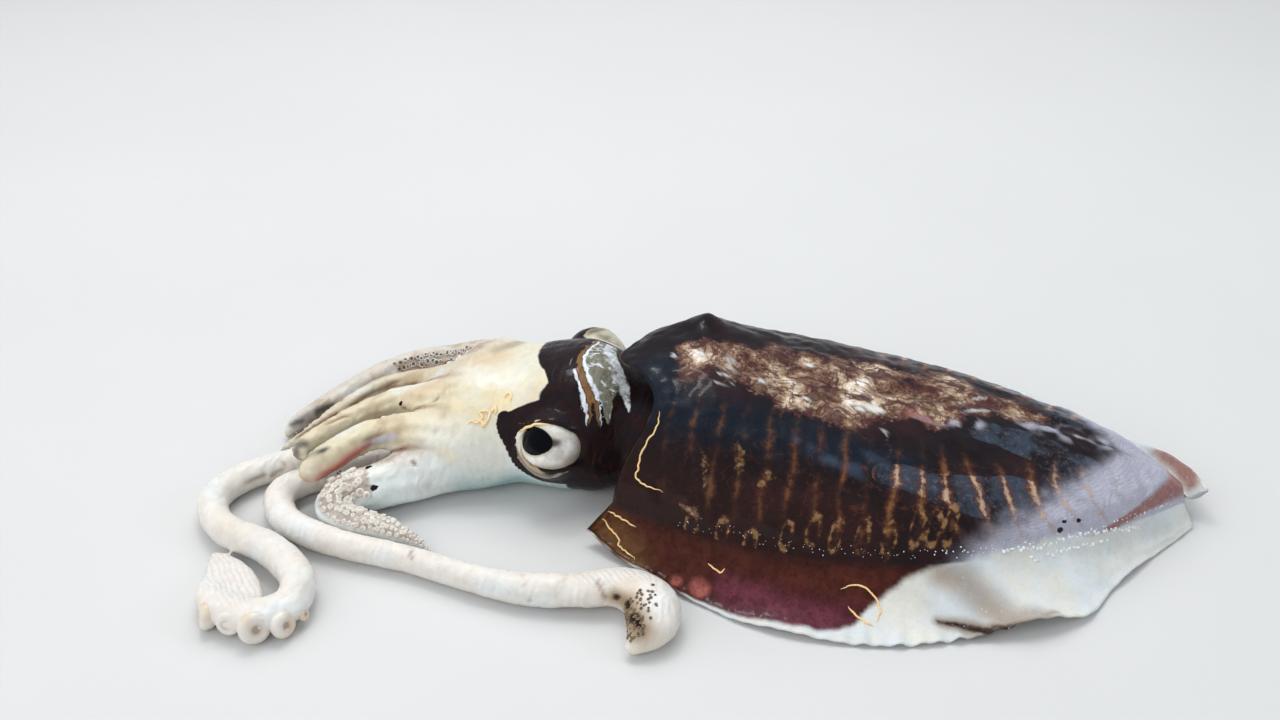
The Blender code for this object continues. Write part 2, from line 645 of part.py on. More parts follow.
def make_stalk(name, route, cuts):
    """A smooth tentacle stalk, divided into lengths that meet face to face."""
    samples = route_samples(route, STALK_STEP)
    frames = route_frames(samples, FORWARD)
    rings = tube_rings(samples, frames, STALK_SIDES)
    last = len(samples) - 1
    bounds = [0] + [round(cut * last) for cut in cuts] + [last]
    for part, (first, final) in enumerate(zip(bounds, bounds[1:])):
        piece = [list(ring) for ring in rings[first:final + 1]]
        if part:
            piece[0] = [point + frames[first][0] * GAP for point in piece[0]]
        loft("%s_%d" % (name, part + 1), piece, "tentacle")
    return samples[-1], frames[-1]


def make_club(name, stalk_end):
    """The broad end of a tentacle, starting face to face with its stalk."""
    (place, radius), (tangent, _) = stalk_end
    start = place + tangent * GAP
    route = [(*start, radius)] + CLUBS[name]
    samples = route_samples(route, 4.2)
    frames = route_frames(samples, tangent)
    rings = tube_rings(samples, frames, CLUB_SIDES, CLUB_HEIGHT)
    end_rings, tip = rounded_end(samples, frames, CLUB_SIDES, CLUB_HEIGHT)
    return loft(name + "_club", rings + end_rings, "tentacle", end_tip=tip), samples, frames


def make_left_club(stalk_end):
    """The left tentacle's club, with rows of small suckers on its inner side."""
    club, samples, frames = make_club("tentacle_left", stalk_end)
    cups = []
    for i in range(4, len(samples) - 1):
        place, radius = samples[i]
        tangent = frames[i][0]
        middle = square_to(CLUB_ORAL, tangent)
        for tilt in CLUB_ROWS:
            out = middle * math.cos(tilt) + tangent.cross(middle) * math.sin(tilt)
            if place.z + out.z * radius - CLUB_SUCKER > 0.3:
                cups.append(skin_sucker(place, radius, frames[i], out, CLUB_SUCKER, CLUB_HEIGHT))
    apply_boolean(club, cups, "UNION")


def make_right_club(stalk_end):
    """The right tentacle's club, folded back on itself, with its few large suckers below."""
    club = make_club("tentacle_right", stalk_end)[0]
    samples = route_samples(BLADE_ROUTE, 4.6)
    frames = route_frames(samples)
    rings = tube_rings(samples, frames, CLUB_SIDES, BLADE_HEIGHT)
    end_rings, tip = rounded_end(samples, frames, CLUB_SIDES, BLADE_HEIGHT)
    tools = [loft("blade", rings + end_rings, None, end_tip=tip)]
    for x, y, z, radius in BIG_SUCKERS:
        tools.append(ball("big_sucker", Vector((x, y, z)), radius, None, 10, 6))
    apply_boolean(club, tools, "UNION")


def main():
    for old in list(bpy.data.objects):
        bpy.data.objects.remove(old)
    make_mantle()
    make_fin("fin_left", -1)
    make_fin("fin_right", 1)
    make_neck()
    make_head()
    make_funnel()
    ball("eye_left", eye_centre(-1), EYE_RADIUS, "eye")
    ball("eye_right", eye_centre(1), EYE_RADIUS, "eye")
    for name, arm in ARMS.items():
        make_arm(name, arm)
    ends = {name: make_stalk(name, route, cuts) for name, (route, cuts) in STALKS.items()}
    make_left_club(ends["tentacle_left"])
    make_right_club(ends["tentacle_right"])


main()
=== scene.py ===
"""Common cuttlefish: one wet skin, suckers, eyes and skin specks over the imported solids.

The sizes in the tables are in millimetres, in the frame of the solids: +X from the head to the
tail, +Y to the animal's right, +Z up, with the floor at zero.
"""

import math
from collections import namedtuple

import bmesh
import bpy
import numpy as np
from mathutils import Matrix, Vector, noise
from mathutils.bvhtree import BVHTree


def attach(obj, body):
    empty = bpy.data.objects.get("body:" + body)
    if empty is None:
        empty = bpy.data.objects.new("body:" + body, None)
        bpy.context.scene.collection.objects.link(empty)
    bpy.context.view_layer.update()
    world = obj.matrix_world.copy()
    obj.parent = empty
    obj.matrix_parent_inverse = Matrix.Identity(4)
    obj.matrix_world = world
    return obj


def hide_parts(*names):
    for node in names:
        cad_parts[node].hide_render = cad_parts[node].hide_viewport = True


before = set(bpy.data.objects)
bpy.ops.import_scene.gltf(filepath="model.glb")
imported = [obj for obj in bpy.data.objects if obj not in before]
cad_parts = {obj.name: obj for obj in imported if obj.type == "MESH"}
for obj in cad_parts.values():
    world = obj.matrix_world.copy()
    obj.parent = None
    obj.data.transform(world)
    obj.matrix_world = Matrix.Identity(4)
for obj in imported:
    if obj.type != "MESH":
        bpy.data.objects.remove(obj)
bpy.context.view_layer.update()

bl_info = {
    "name": "Common cuttlefish",
    "version": (1, 0, 0),
    "blender": (4, 5, 0),
    "location": "3D View > Sidebar > Cuttlefish",
    "description": "Dresses the cuttlefish's solids in wet skin, suckers and eyes",
    "category": "Object",
}

MM = 0.001
FORWARD = (-1, 0, 0)

# Mantle
TAIL_X = 95.0
LOBE_X = -95.0
LOBE_REACH = 17.0
CORNER_REACH = 10.0
HALF_WIDTHS = [(-95, 42), (-85, 45), (-70, 50), (-52, 55), (-25, 57), (0, 55), (17, 51.5), (35, 45.5),
    (50, 38), (63, 30), (72, 23.5), (82, 15), (90, 8.5), (95, 4)]
BACK_HEIGHTS = [(-95, 45), (-82, 49.5), (-68, 51), (-36, 45.5), (0, 39), (33, 33), (68, 26), (86, 19),
    (95, 13)]
SHOULDER_BUMP = (-69.0, 17.0, 9.0, 4.5)
MIDLINE = [(-95, -1), (-20, 0), (40, 2.5), (95, 8)]
SIDE_HEIGHTS = [(-95, 11), (0, 12), (60, 11), (95, 8)]
BELLY_STEEPNESS = 1.3
FIN_ROOT_ANGLE = math.radians(4.0)
MANTLE_WALL = 4.5
LIP_WALL = 2.2                  # the free edge is thinner than the wall behind it
POCKET_X = -72.0
POCKET_FLOOR = 3.4
NECK_FLOOR = 4.2

# Fins
FIN_WIDTHS = {-1: [(0, 9), (0.10, 11.5), (0.19, 16), (0.27, 20.5), (0.46, 24), (0.6, 22), (0.74, 22),
                  (0.82, 14), (0.88, 10), (0.95, 7.5), (1, 5.5)],
              1: [(0, 9), (0.10, 11.5), (0.19, 16), (0.27, 20.5), (0.46, 24), (0.6, 23), (0.74, 20),
                  (0.82, 16), (0.88, 13), (0.95, 11.5), (1, 9)]}
FIN_EDGE = 0.9
FIN_FOLDS = [(0.0, 4.5, 0.05), (0.12, 1.2, 0.05), (0.33, 1.6, 0.06), (0.68, 5.0, 0.06), (0.86, 1.5, 0.04)]
TAIL_FOLD = (1.0, 11.0, 0.16)
TAIL_TURN = Vector((0.85, -0.5, 0))

# Neck, head, eyes and funnel
HEAD_STATIONS = [(-97, 29, 40, 13), (-102, 31, 42, 13.5), (-109, 32, 43, 14), (-116, 32, 42, 14),
    (-124, 31.5, 39.8, 14), (-132, 31.5, 37.4, 13.5), (-139, 32.5, 36.5, 13), (-144, 34, 36, 12),
    (-146, 33.5, 35.5, 11.5)]
CROWN_STATIONS = [(-146, 33.0, 35.0, 11.5), (-149, 31.5, 33.4, 11), (-153, 28.5, 30, 10.5),
    (-158, 24, 24, 9), (-163, 17, 15, 7), (-167, 9, 8, 4)]
NECK_STATIONS = [(-101, 29.5, 40.5, 13), (-96.7, 28.5, 39.3, 13), (-90, 25.5, 35, 13.5),
    (-81, 26.5, 36, 14), (-74, 27, 35, 14)]
EYE_PLACES = {-1: Vector((-113.0, -26.5, 21.5)), 1: Vector((-110.5, 27.0, 24.5))}
EYE_RADIUS = 10.8
LID_RADIUS = 12.2
EYE_AIM = (0.02, 0.86, 0.50)
LID_OPENING = (11.4, 7.4)
FUNNEL = [(-72.3, 9.5, 11, 5.4), (-84, 9.0, 10.5, 5.0), (-94, 7.0, 9, 4.8), (-104, 5.6, 7.5, 4.2),
    (-113, 5.0, 6.2, 3.7)]
FUNNEL_MOUTH = 3.4
FUNNEL_BORE = 9.0

# Arms: route holds x, y, z and radius, and oral is the side that the suckers face
Arm = namedtuple("Arm", "route oral tint")
ARMS = {
    "left_1": Arm([(-146.3, -3.2, 29.4, 5.8), (-155, 1, 25.3, 5.2), (-168, 7.5, 19, 4.3),
                   (-185, 4.5, 16.5, 3.6), (-197, -7, 12.8, 3.0), (-206, -18.5, 8.5, 2.3),
                   (-214, -26, 4.6, 1.2)], (0, 0.2, -1), "arm_buff"),
    "left_2": Arm([(-146.3, -15.8, 26.8, 5.7), (-158, -10.5, 23.5, 5.0), (-173, -8.5, 19.2, 4.5),
                   (-183, -13.5, 18, 4.2), (-191, -22, 16.4, 3.8), (-198, -32, 15.2, 3.2),
                   (-200.5, -38, 14.4, 2.7), (-197, -41, 13.8, 1.5)], (0, 0.2, -1), "arm_cream"),
    "left_3": Arm([(-146.3, -28, 20.6, 5.2), (-154, -26, 20, 5.2), (-167, -26.5, 19, 5.2),
                   (-177, -30, 18.6, 5.2), (-183, -36.5, 17.6, 5.1), (-188.5, -44, 16, 5.0),
                   (-191.5, -49, 14.6, 4.0)], (0, 0.9, -0.5), "arm_cream"),
    "left_4": Arm([(-146.3, -28.4, 7.8, 7.0), (-155, -33.5, 8.0, 7.7), (-166, -41, 8.0, 7.9),
                   (-175, -47, 7.8, 7.3), (-181.5, -52.5, 6.8, 6.2), (-180, -58.7, 5.8, 5.4),
                   (-171, -60.8, 5.0, 5.0), (-160, -61.8, 4.3, 4.2), (-150, -64, 3.2, 3.0),
                   (-143, -66.5, 2.2, 1.3)], (0, 1, 0.5), "arm_pale"),
    "right_1": Arm([(-146.3, 10.8, 28.4, 5.6), (-155, 15, 19.5, 5.1), (-165, 14.8, 11, 4.7),
                    (-174, 13.5, 6.2, 4.5), (-186, 10, 4.6, 4.1), (-199, 3, 3.8, 3.3),
                    (-210, -6, 2.6, 1.4)], (0, -0.3, 1), "arm_buff"),
    "right_2": Arm([(-146.3, 23.7, 22, 5.7), (-157, 33.5, 16.2, 5.3), (-169, 37.5, 11, 5.5),
                    (-184, 36, 7.8, 5.3), (-196, 29, 6.0, 4.6), (-205, 16, 5.0, 4.2),
                    (-212, 3, 4.2, 3.6), (-217, -8, 3.4, 3.0), (-218, -14, 2.5, 1.6)],
                   (0, -1, 0.15), "arm_pink"),
    "right_3": Arm([(-146.3, 27, 8.6, 5.8), (-158, 26.5, 5.9, 5.3), (-172, 24.5, 4.9, 4.8),
                    (-184, 20.5, 4.2, 4.1), (-195, 14.5, 3.0, 2.4)], (0, -0.4, 1), "arm_buff"),
    "right_4": Arm([(-146.3, 12.4, 7.2, 5.9), (-156, 7, 5.8, 5.3), (-166, 2.5, 5.1, 5.0),
                    (-178, -2, 4.6, 4.5), (-190, -6, 4.0, 3.8), (-201, -13, 2.8, 1.8)],
                   (0, 0.2, 1), "arm_buff"),
}
WEBS = [("left_1", "left_2", 0.6), ("left_2", "left_3", 0.62), ("left_3", "left_4", 0.5),
    ("right_1", "left_1", 0.5), ("right_1", "right_2", 0.36), ("right_2", "right_3", 0.36),
    ("right_3", "right_4", 0.36), ("right_4", "left_4", 0.24)]
CROWN_GRID = ((-226, -123), (-76, 50), (-2, 46))
BLEND_REACHES = [(-230, 0.6), (-196, 0.8), (-186, 2.5), (-176, 6), (-166, 10), (-155, 11), (-145, 9.5),
    (-136, 8), (-131, 5), (-126, 0.6)]
# Arms that turn over: past this share of its length the inner side faces this way
TURNED = {"left_4": (0.36, (0.3, -0.2, 1)), "right_2": (0.50, (0.2, -0.5, -0.9))}
SUCKERS_FROM = {"left_4": 0.37}

# Tentacles, each a stalk and a club in one run, and the left-hand fold of the right club
STALKS = {
    "left": [(-146.3, -10.5, 6, 4.6), (-156, -15, 5, 4.7), (-165, -19, 4.7, 4.8),
             (-176, -25, 4.7, 4.8), (-187, -33, 4.7, 4.9), (-197, -41.5, 4.8, 5.1),
             (-202.5, -50, 4.9, 5.2), (-200, -58, 4.8, 5.2), (-193, -65, 4.7, 5.0),
             (-181, -69.5, 4.6, 4.8), (-168, -72, 4.4, 4.6), (-150, -73.5, 4.2, 4.4),
             (-137, -76, 4.2, 4.4), (-122, -79, 4.4, 4.7), (-109, -80.5, 4.8, 5.1),
             (-98, -79.5, 5.2, 5.6)],
    "right": [(-146.3, 0.5, 6, 4.6), (-156, -4.5, 5, 4.7), (-165, -8.5, 4.6, 4.8),
              (-176, -13.5, 4.6, 4.8), (-190, -21, 4.6, 4.8), (-200, -28, 4.7, 4.9),
              (-208.5, -34.5, 4.8, 5.0), (-217, -42, 4.9, 5.1), (-222.5, -51, 5, 5.2),
              (-223, -60, 5, 5.2), (-218, -68, 5, 5.2), (-210.5, -73.5, 5, 5.3),
              (-203, -76, 5, 5.4), (-195, -78.5, 5.1, 5.5), (-186.5, -83.5, 5.3, 5.7),
              (-178, -91, 5.4, 5.6), (-175.2, -98.5, 5.5, 5.7)],
}
CLUBS = {
    "left": [(-88, -77, 5.4, 6.6), (-80.5, -74.5, 5.6, 7.2), (-73, -76, 5.7, 8.0),
             (-67.8, -81, 5.7, 8.6), (-66.5, -87.5, 5.4, 8.2), (-68, -93, 4.4, 6.0),
             (-70, -96.5, 3.4, 3.0)],
    "right": [(-175.8, -103.5, 5.4, 6.2), (-182, -109, 5.3, 6.3), (-190, -109, 5.2, 6.4),
              (-197, -106.5, 5.0, 6.0), (-202, -101.5, 4.6, 5.0), (-205, -97.5, 4.2, 3.0)],
}
CLUB_HEIGHT = 0.74
BLADE_ROUTE = [(-190, -106, 4, 7.6), (-196, -99, 4, 8.6), (-201.5, -92.5, 3.7, 7.6), (-207, -86.5, 3, 4.8),
    (-211, -82.5, 2.2, 2.2), (-213, -80.6, 1.6, 0.8)]
BLADE_HEIGHT = 0.42
BIG_SUCKERS = [(-198, -111.2, 4.2, 3.6), (-190, -113, 4.8, 4.1), (-181.8, -113.6, 5.0, 4.3),
    (-174.5, -110.2, 4.4, 3.2), (-170.6, -104.2, 3.8, 2.2)]
CLUB_ORAL = (-1.0, -0.15, 0.30)

# Markings, and painted shade, sheen and highlights, drawn as brush strokes through x, y, z and brush radius
HEAD_BAND = [[(-119, 24, 36, 3.5), (-118, 15, 39, 8), (-117, 5, 41.5, 9), (-118, -2, 41, 6.3),
    (-116.5, -7, 41, 4.7), (-115, -11, 40.5, 4.1), (-113, -15, 39.5, 4.3), (-112.5, -18, 37.5, 5.6),
    (-111, -22, 35, 8.5), (-106, -28, 30, 8.5), (-100, -31, 22, 9), (-98, -30, 8, 10)],
    [(-113, -24, 33, 4.6), (-120, -24.5, 32.5, 4.2), (-127, -25, 30, 2.6), (-131, -26, 27, 1.8),
    (-129, -29, 24, 1.6), (-127, -30.5, 21, 1.6)], [(-127, -30.5, 21, 1.6), (-125.5, -31, 18, 1.6),
    (-123.5, -31.5, 15, 1.7), (-119, -31.5, 12, 1.9), (-114, -32, 10.5, 2.6), (-109, -33, 12, 4.5),
    (-104, -33, 14, 6)], [(-130.4, -24.6, 29, 2.3), (-127.5, -26.5, 27.4, 1.7), (-124.5, -27.2, 27.4, 1.1)],
    [(-126.5, -27.6, 26, 1.8), (-126.6, -28.8, 24.2, 1.5), (-125.6, -29.8, 22.8, 0.9)],
    [(-124, -27.8, 27.6, 1.1), (-120.5, -29.4, 30, 1.3), (-116, -30, 31, 1.3), (-110, -29.5, 31.5, 1.6)],
    [(-113, 34, 28, 6), (-104, 31, 24, 8), (-99, 30, 14, 9), (-99, 28, 6, 9)], [(-113, 28, 34, 4.5),
    (-121, 26, 32, 4.2), (-128, 28, 27, 3), (-127, 32, 19, 2), (-120, 34, 11, 2), (-106, 33, 9, 4)]]
FOLD_ROWS = (-26, -23, -19, -16, -13, -10, -6, -2, 3, 9, 16)
FOLD_LINES = [(-106, -105.5, -107.2, -108.5, -110, -111.5, -112.6, -112.6, -111, -108.6, -108.5),
    (-103, -103.3, -105, -106.2, -108, -109.8, -111, -111, -109.8, -108, -107.8),
    (-100, -100, -101.8, -103.8, -106, -107.8, -109.5, -109.8, -108.8, -107.4, -107.2),
    (-96.5, -97, -98.8, -101.3, -104, -105.8, -108, -108.4, -107.6, -106.7, -106.6),
    (-94.5, -94.8, -97, -99, -101, -103, -105.3, -106.6, -106, -105.6, -105.6),
    (-88, -88.5, -89.5, -90.5, -91.5, -92.6, -93.8, -97, -101.5, -102.8, -102.8),
    (-84, -84, -85, -86, -87, -88, -89, -91, -94, -96, -96)]
LID_SHADE = [[(-130.5, -26.5, 27, 1.6), (-128.5, -28, 25.5, 1.9), (-126.8, -29.5, 22.5, 1.6),
    (-125, -31, 19.5, 1.3)], [(-114, -33, 11.5, 2.4), (-108, -34.5, 12.5, 3.4), (-103, -33, 15, 4)]]
LID_RING = [[(-125.8, -30, 22, 0.9), (-123, -32, 18.5, 1.3), (-120.5, -34.5, 17, 1.3),
    (-116, -36, 15.8, 1.2), (-112, -36, 15, 1.0)]]
BROWN_STAIN = [[(-142, 4, 36, 2.4), (-138, 11, 35.5, 2.6), (-137, 17, 33.5, 2)]]
TAN_ARM_BASE = [[(-170, -12, 23, 3.0), (-160, -9, 28, 4.0), (-152, -5, 31, 5.0), (-146, -3, 35, 5.0),
    (-139, 1, 37, 3.6)]]
YELLOW_FLESH = [[(-137, -17, 33, 3.5), (-133, -20, 32, 3.5), (-131, -23, 30, 3)], [(-147, -22, 28, 3),
    (-141, -24, 28, 3)], [(-150, -36, 20, 2), (-146, -36, 18, 2)]]
WHITE_FLESH = [[(-152, -33, 22, 6), (-143, -32, 20, 7), (-134, -32, 15, 6)], [(-148, -8, 33, 5),
    (-140, -12, 35, 5), (-130, -12, 38, 4)]]
# Painted white highlights, wet glints on the back, laid into the pale colour
WHITE_GLINTS = [[(-76, -7, 50, 0.9), (-75, -8.5, 49.6, 0.7)], [(-67, -5, 51, 1.3), (-65.5, -6, 50.8, 0.9)],
    [(-59, -14, 49, 0.9), (-57, -14.5, 48.6, 1.2)], [(-58, -5, 50, 1.3), (-56.5, -6, 50, 1.5)],
    [(-46, -12, 47, 1.2), (-44, -12.3, 46.6, 0.8)], [(-31, -15, 43, 1.0), (-29, -15.5, 42.6, 0.6)],
    [(-13, -12, 41, 1.8), (-9.5, -11.5, 40.4, 2.2), (-6, -11.5, 40, 1.4)], [(-5, -20, 38, 0.7),
    (-4, -20.6, 37.8, 0.9)], [(-32, 5, 44.6, 1.0), (-30.5, 4.6, 44.4, 1.3)]]
SWIRLS = [[(-60, -14, 49, 0.8), (-57, -9, 49, 1.2), (-53, -12, 48, 1.0), (-55, -18, 47, 0.9),
    (-60, -19, 48, 0.6)], [(15, -6, 36, 0.8), (24, 4, 34.5, 1.2), (33, 7, 33, 1.2), (38, 5, 32, 0.8)],
    [(16, 6, 36, 0.6), (22, 11, 34.5, 0.9), (28, 15, 33, 0.8)]]
RED_PATCH = [[(-1, -10, 38, 2.5), (5, -9.5, 37.5, 3.2), (12, -7, 36.8, 2.5)]]
# Creases on the tentacles, carved as grooves and darkened with painted shade
LIMB_CREASES = [[(-150, -68, 7, 0.5), (-147.5, -73, 9, 0.5), (-146, -77, 7.5, 0.6)], [(-109, -79, 9.6, 0.5),
    (-107, -83, 8.5, 0.6), (-105, -85, 5, 0.8)], [(-87, -74, 12, 0.4), (-85, -79, 10, 0.6),
    (-82, -82, 7, 0.8)], [(-215, -41, 8, 0.5), (-212, -44, 6, 0.8), (-217, -49, 6, 0.8)],
    [(-208, -38, 9, 0.4), (-206, -39, 7, 0.6), (-210, -42, 5, 0.8)]]
CLUB_VEIL = [(-92, -76, 11.5, 3), (-85, -77, 11.5, 4), (-79, -74, 11.5, 4), (-72, -74, 11, 3)]
CLUB_STAIN = [[(-79, -82, 8, 2.6), (-75, -85, 8.5, 3.8), (-72, -90, 8.5, 4.4), (-69, -94, 8, 4.0)]]
# Creases between the arms, carved as grooves and darkened with painted shade
CREASES = [[(-160, -13, 27, 0.5), (-167, -13, 21.5, 0.7), (-172, -14.5, 20, 0.6)], [(-178, 5, 20, 0.5),
    (-182, 3, 19, 0.8), (-190, -3, 16, 0.9), (-197, -9, 13, 0.9)], [(-185, -21, 21, 0.6),
    (-191, -23, 20, 0.8), (-196, -28, 18, 0.8)], [(-149, -42.5, 16, 0.5), (-155, -42, 16.5, 0.7),
    (-160, -38, 16, 0.8), (-168, -40, 14, 0.8)], [(-152, -16, 30, 0.4), (-160, -18, 27, 0.6),
    (-170, -19, 23, 0.8), (-180, -22, 20, 0.9)], [(-150, -3, 32, 0.4), (-160, -3.5, 27, 0.6),
    (-172, -2, 21, 0.8), (-184, -5, 18, 0.8)], [(-210, -23, 8, 0.5), (-206, -19.5, 10.2, 0.8),
    (-198, -12, 12.6, 0.9)], [(-194, -7.7, 14.4, 0.8), (-183, 1.8, 17.7, 0.9), (-173.7, 2.3, 20.1, 0.8),
    (-164, -2.5, 26.3, 0.5)], [(-166, -28.5, 22, 0.4), (-171, -31, 21.5, 0.7), (-178, -36, 19.8, 0.8),
    (-186, -42, 18, 0.8)]]
INK_SPOTS = [[(-172, -13, 21.5, 1.1), (-171.4, -12.4, 21.6, 1.0)], [(-173, -44, 15, 0.9),
    (-172.4, -43.6, 15, 0.8)], [(-169, -50, 12, 1.2), (-168.4, -49.6, 12, 1.0)], [(-163, -5, 26, 0.8),
    (-166, -6.5, 24, 0.5)]]
LILAC_GROOVE = [[(-166, -30.5, 20.5, 1.0), (-170, -32.5, 20, 1.4), (-176, -36, 18.8, 1.4)]]
PINK_GROOVE = [[(-175, -36, 18.6, 1.2), (-180, -40.5, 16.6, 2.0), (-184, -44.5, 15, 2.3),
    (-188, -48.5, 14, 2.4), (-192, -51, 13.5, 1.6)]]
DARK_TIPS = [[(-196, -37, 17.5, 1.2), (-200, -38, 17, 2.2), (-201, -41, 14, 2.6)], [(-187, -44, 21.5, 1.0),
    (-190, -46, 20, 1.8), (-194, -46, 17.5, 1.6)], [(-217, -11, 5.2, 1.4), (-212, -4, 5.9, 2.2),
    (-207, 4, 5.3, 1.4)]]
TEAL_EDGE = [[(-136, -27, 4, 3), (-129, -28, 5, 3.5), (-122, -30, 6, 3)]]
CREAM_PATCHES = [[(-65, -51, 22, 1.4), (-61.5, -52, 21, 1.6), (-59, -52.6, 20, 0.9)]]
TAIL_RIM = [[(67, -22, 11.5, 1.0), (77, -13, 12.5, 1.7), (85, -4.5, 13.5, 2.6), (92, 5, 13.5, 4),
    (97, 14, 11, 4.5), (96, 22, 11, 4), (88, 29, 11, 3), (74, 34, 11, 1.6)]]
MAROON_SPECKS = [[(52, -32, 16.5, 0.9), (52.7, -31.6, 16.6, 0.8)], [(53, -30, 18.5, 0.7),
    (53.5, -29.8, 18.6, 0.6)], [(58, -27, 17.5, 0.8), (58.6, -26.8, 17.5, 0.7)], [(48, -34, 19, 0.6),
    (48.4, -33.8, 19, 0.5)]]
MAGENTA = [[(-48, -66, 5, 3), (-40, -70, 4, 5), (-28, -73, 3, 5), (-16, -73, 3, 4)], [(-46, 64, 5, 3),
    (-30, 70, 4, 5), (-14, 71, 3, 4)]]
PINK_BUMP = [[(-56.5, -66, 3.4, 2.6), (-55.5, -66.8, 3.2, 2.6)],
             [(-64, -64, 2.4, 1.7), (-63.5, -64.2, 2.4, 1.6)]]
OVALS = [(-61, 17), (-51, 17), (-42, 15), (-31, 19), (-23, 21), (-16, 20), (-8, 20), (0, 20), (8, 22),
    (13, 22), (18, 22)]
GOLD_PATCHES = [[(-51, -36, 39, 1.3), (-49, -40, 37, 2.2), (-48, -43, 35, 2.0), (-47, -46, 32, 1.0)],
    [(-61, -40, 37, 0.8), (-59, -43, 35, 1.3), (-58, -48, 30, 1.0), (-58, -49, 27, 0.8)],
    [(-39, -44, 34, 1.5), (-37, -45, 32, 1.8), (-41, -47, 31, 1.2)]]
DARK_ISLANDS = [[(22, -18, 33, 4), (28, -17.5, 32, 5), (35, -18, 31, 5), (42, -19.5, 29, 3.5)],
    [(0, -20, 36, 3), (9, -20, 35, 4.5), (15, -21, 34, 4)]]
# Painted shadow along the lifted edge of the left fin, brown fading to dark at the rim
FIN_EDGE_SHADOW = [[(17, -66.5, 2.8, 1.4), (25, -66.5, 2.5, 2.8), (31, -67.5, 2.6, 3.4), (38, -66.5, 3.8, 3.4),
    (45, -63, 4, 3), (51, -58, 4, 1.8)]]
FIN_DOTS = [[(35, -42, 14), (40, -40, 14), (44, -38.5, 13), (49, -35, 13), (53, -32, 13), (60, -28, 13),
    (66, -24, 12), (73, -19, 10), (79, -13, 8)], [(44, -42, 11), (50, -37, 11), (56, -33, 11),
    (62, -29, 10), (69, -24, 9)]]
FIN_SHADOW = [[(17, -54, 11, 4), (24, -54, 9.5, 5), (32, -59, 6, 5.5), (39, -63, 4, 5.5), (46, -60, 4, 4)]]
FILM = [[(-4, -36, 32.5, 3.5), (3, -35.5, 32, 4.5), (10, -36, 30, 4.5), (17, -35.5, 29, 6),
    (25, -34, 27, 7), (33, -32, 26, 7.5), (41, -28, 25, 8), (49, -25, 24, 8), (57, -19, 24, 8)],
    [(26, -9, 34, 4), (31, -7, 33, 5), (36, -7, 32, 6), (44, -8, 30, 7), (52, -11, 28, 8),
    (60, -12, 26, 8)]]
# Painted blue sheen: bluish reflections on the middle of the near flank
BLUE_SHEEN = [[(-32, -32, 39, 1.0), (-26, -35, 37, 1.8), (-20, -36, 35, 1.6), (-15, -37, 34, 1.8),
    (-9, -37, 33, 2.2), (-4, -37, 32, 2.0)], [(-10, -31, 35, 1.5), (-5, -33, 34, 2.0), (-0.5, -36, 32, 2.2),
    (0, -39, 30.5, 1.4)]]
# Painted blue-green sheen, a reflection, over the dark shoulders
TEAL_SHEEN = [[(-80, -14, 48, 7), (-77, -24, 45, 8), (-68, -30, 42, 8), (-50, -30, 42, 8),
    (-30, -31, 40, 7), (-10, -32, 36, 6), (5, -32, 33, 5)]]
# Pale lilac patches on the back: partly worn skin, partly a painted wet glare along the rear of the back
PEELED_SKIN_AND_GLARE = [[(34, 6, 33, 3), (44, 4, 31, 4.5), (55, 5, 28.5, 5.5), (66, 7, 26, 5), (78, 7, 22, 5)],
    [(4, -10, 37, 2), (14, -7, 36, 3), (24, -4, 34.5, 3.5)]]
BAND_MIDDLE = [(-95, -6), (-72, -10), (-62, -9.5), (-47, -4.5), (-33, -2.5), (-23, -2), (-8, 1.5), (6, 5),
    (21, 9), (36, 11), (60, 9)]
BAND_HALF_WIDTH = [(-95, 3), (-80, 7), (-70, 13), (-62, 16), (-47, 20.5), (-33, 24.5), (-23, 27), (-8, 25),
    (6, 23), (21, 17), (36, 12.5), (50, 8), (60, 4)]
PALE_FROM = [(-95, 1.97), (-72, 1.97), (-55, 1.93), (-40, 1.88), (-20, 1.85), (-9, 1.72), (-3, 1.42),
    (6, 1.16), (17, 1.0), (27, 0.92), (40, 0.85), (53, 0.84), (66, 0.95), (80, 0.99), (95, 1.0)]
LILAC_FROM = [(-95, 1.5), (5, 1.3), (15, 1.03), (24, 0.93), (35, 0.8), (45, 0.68), (55, 0.52), (64, 0.36),
    (72, 0.14), (80, 0.0), (95, -0.2)]
# Marks on the head and arms with the softness of their edge, their strength and their colour
FRONT_TINTS = [(TAN_ARM_BASE, 0.8, 0.8, "warm_flesh"), (YELLOW_FLESH, 0.9, 0.6, "yellow_flesh"),
               (WHITE_FLESH, 0.9, 0.6, "pale_flesh"), (BROWN_STAIN, 0.8, 0.7, "stain"),
               (LILAC_GROOVE, 0.7, 0.8, "lilac"), (PINK_GROOVE, 0.8, 1.0, "bump_pink")]

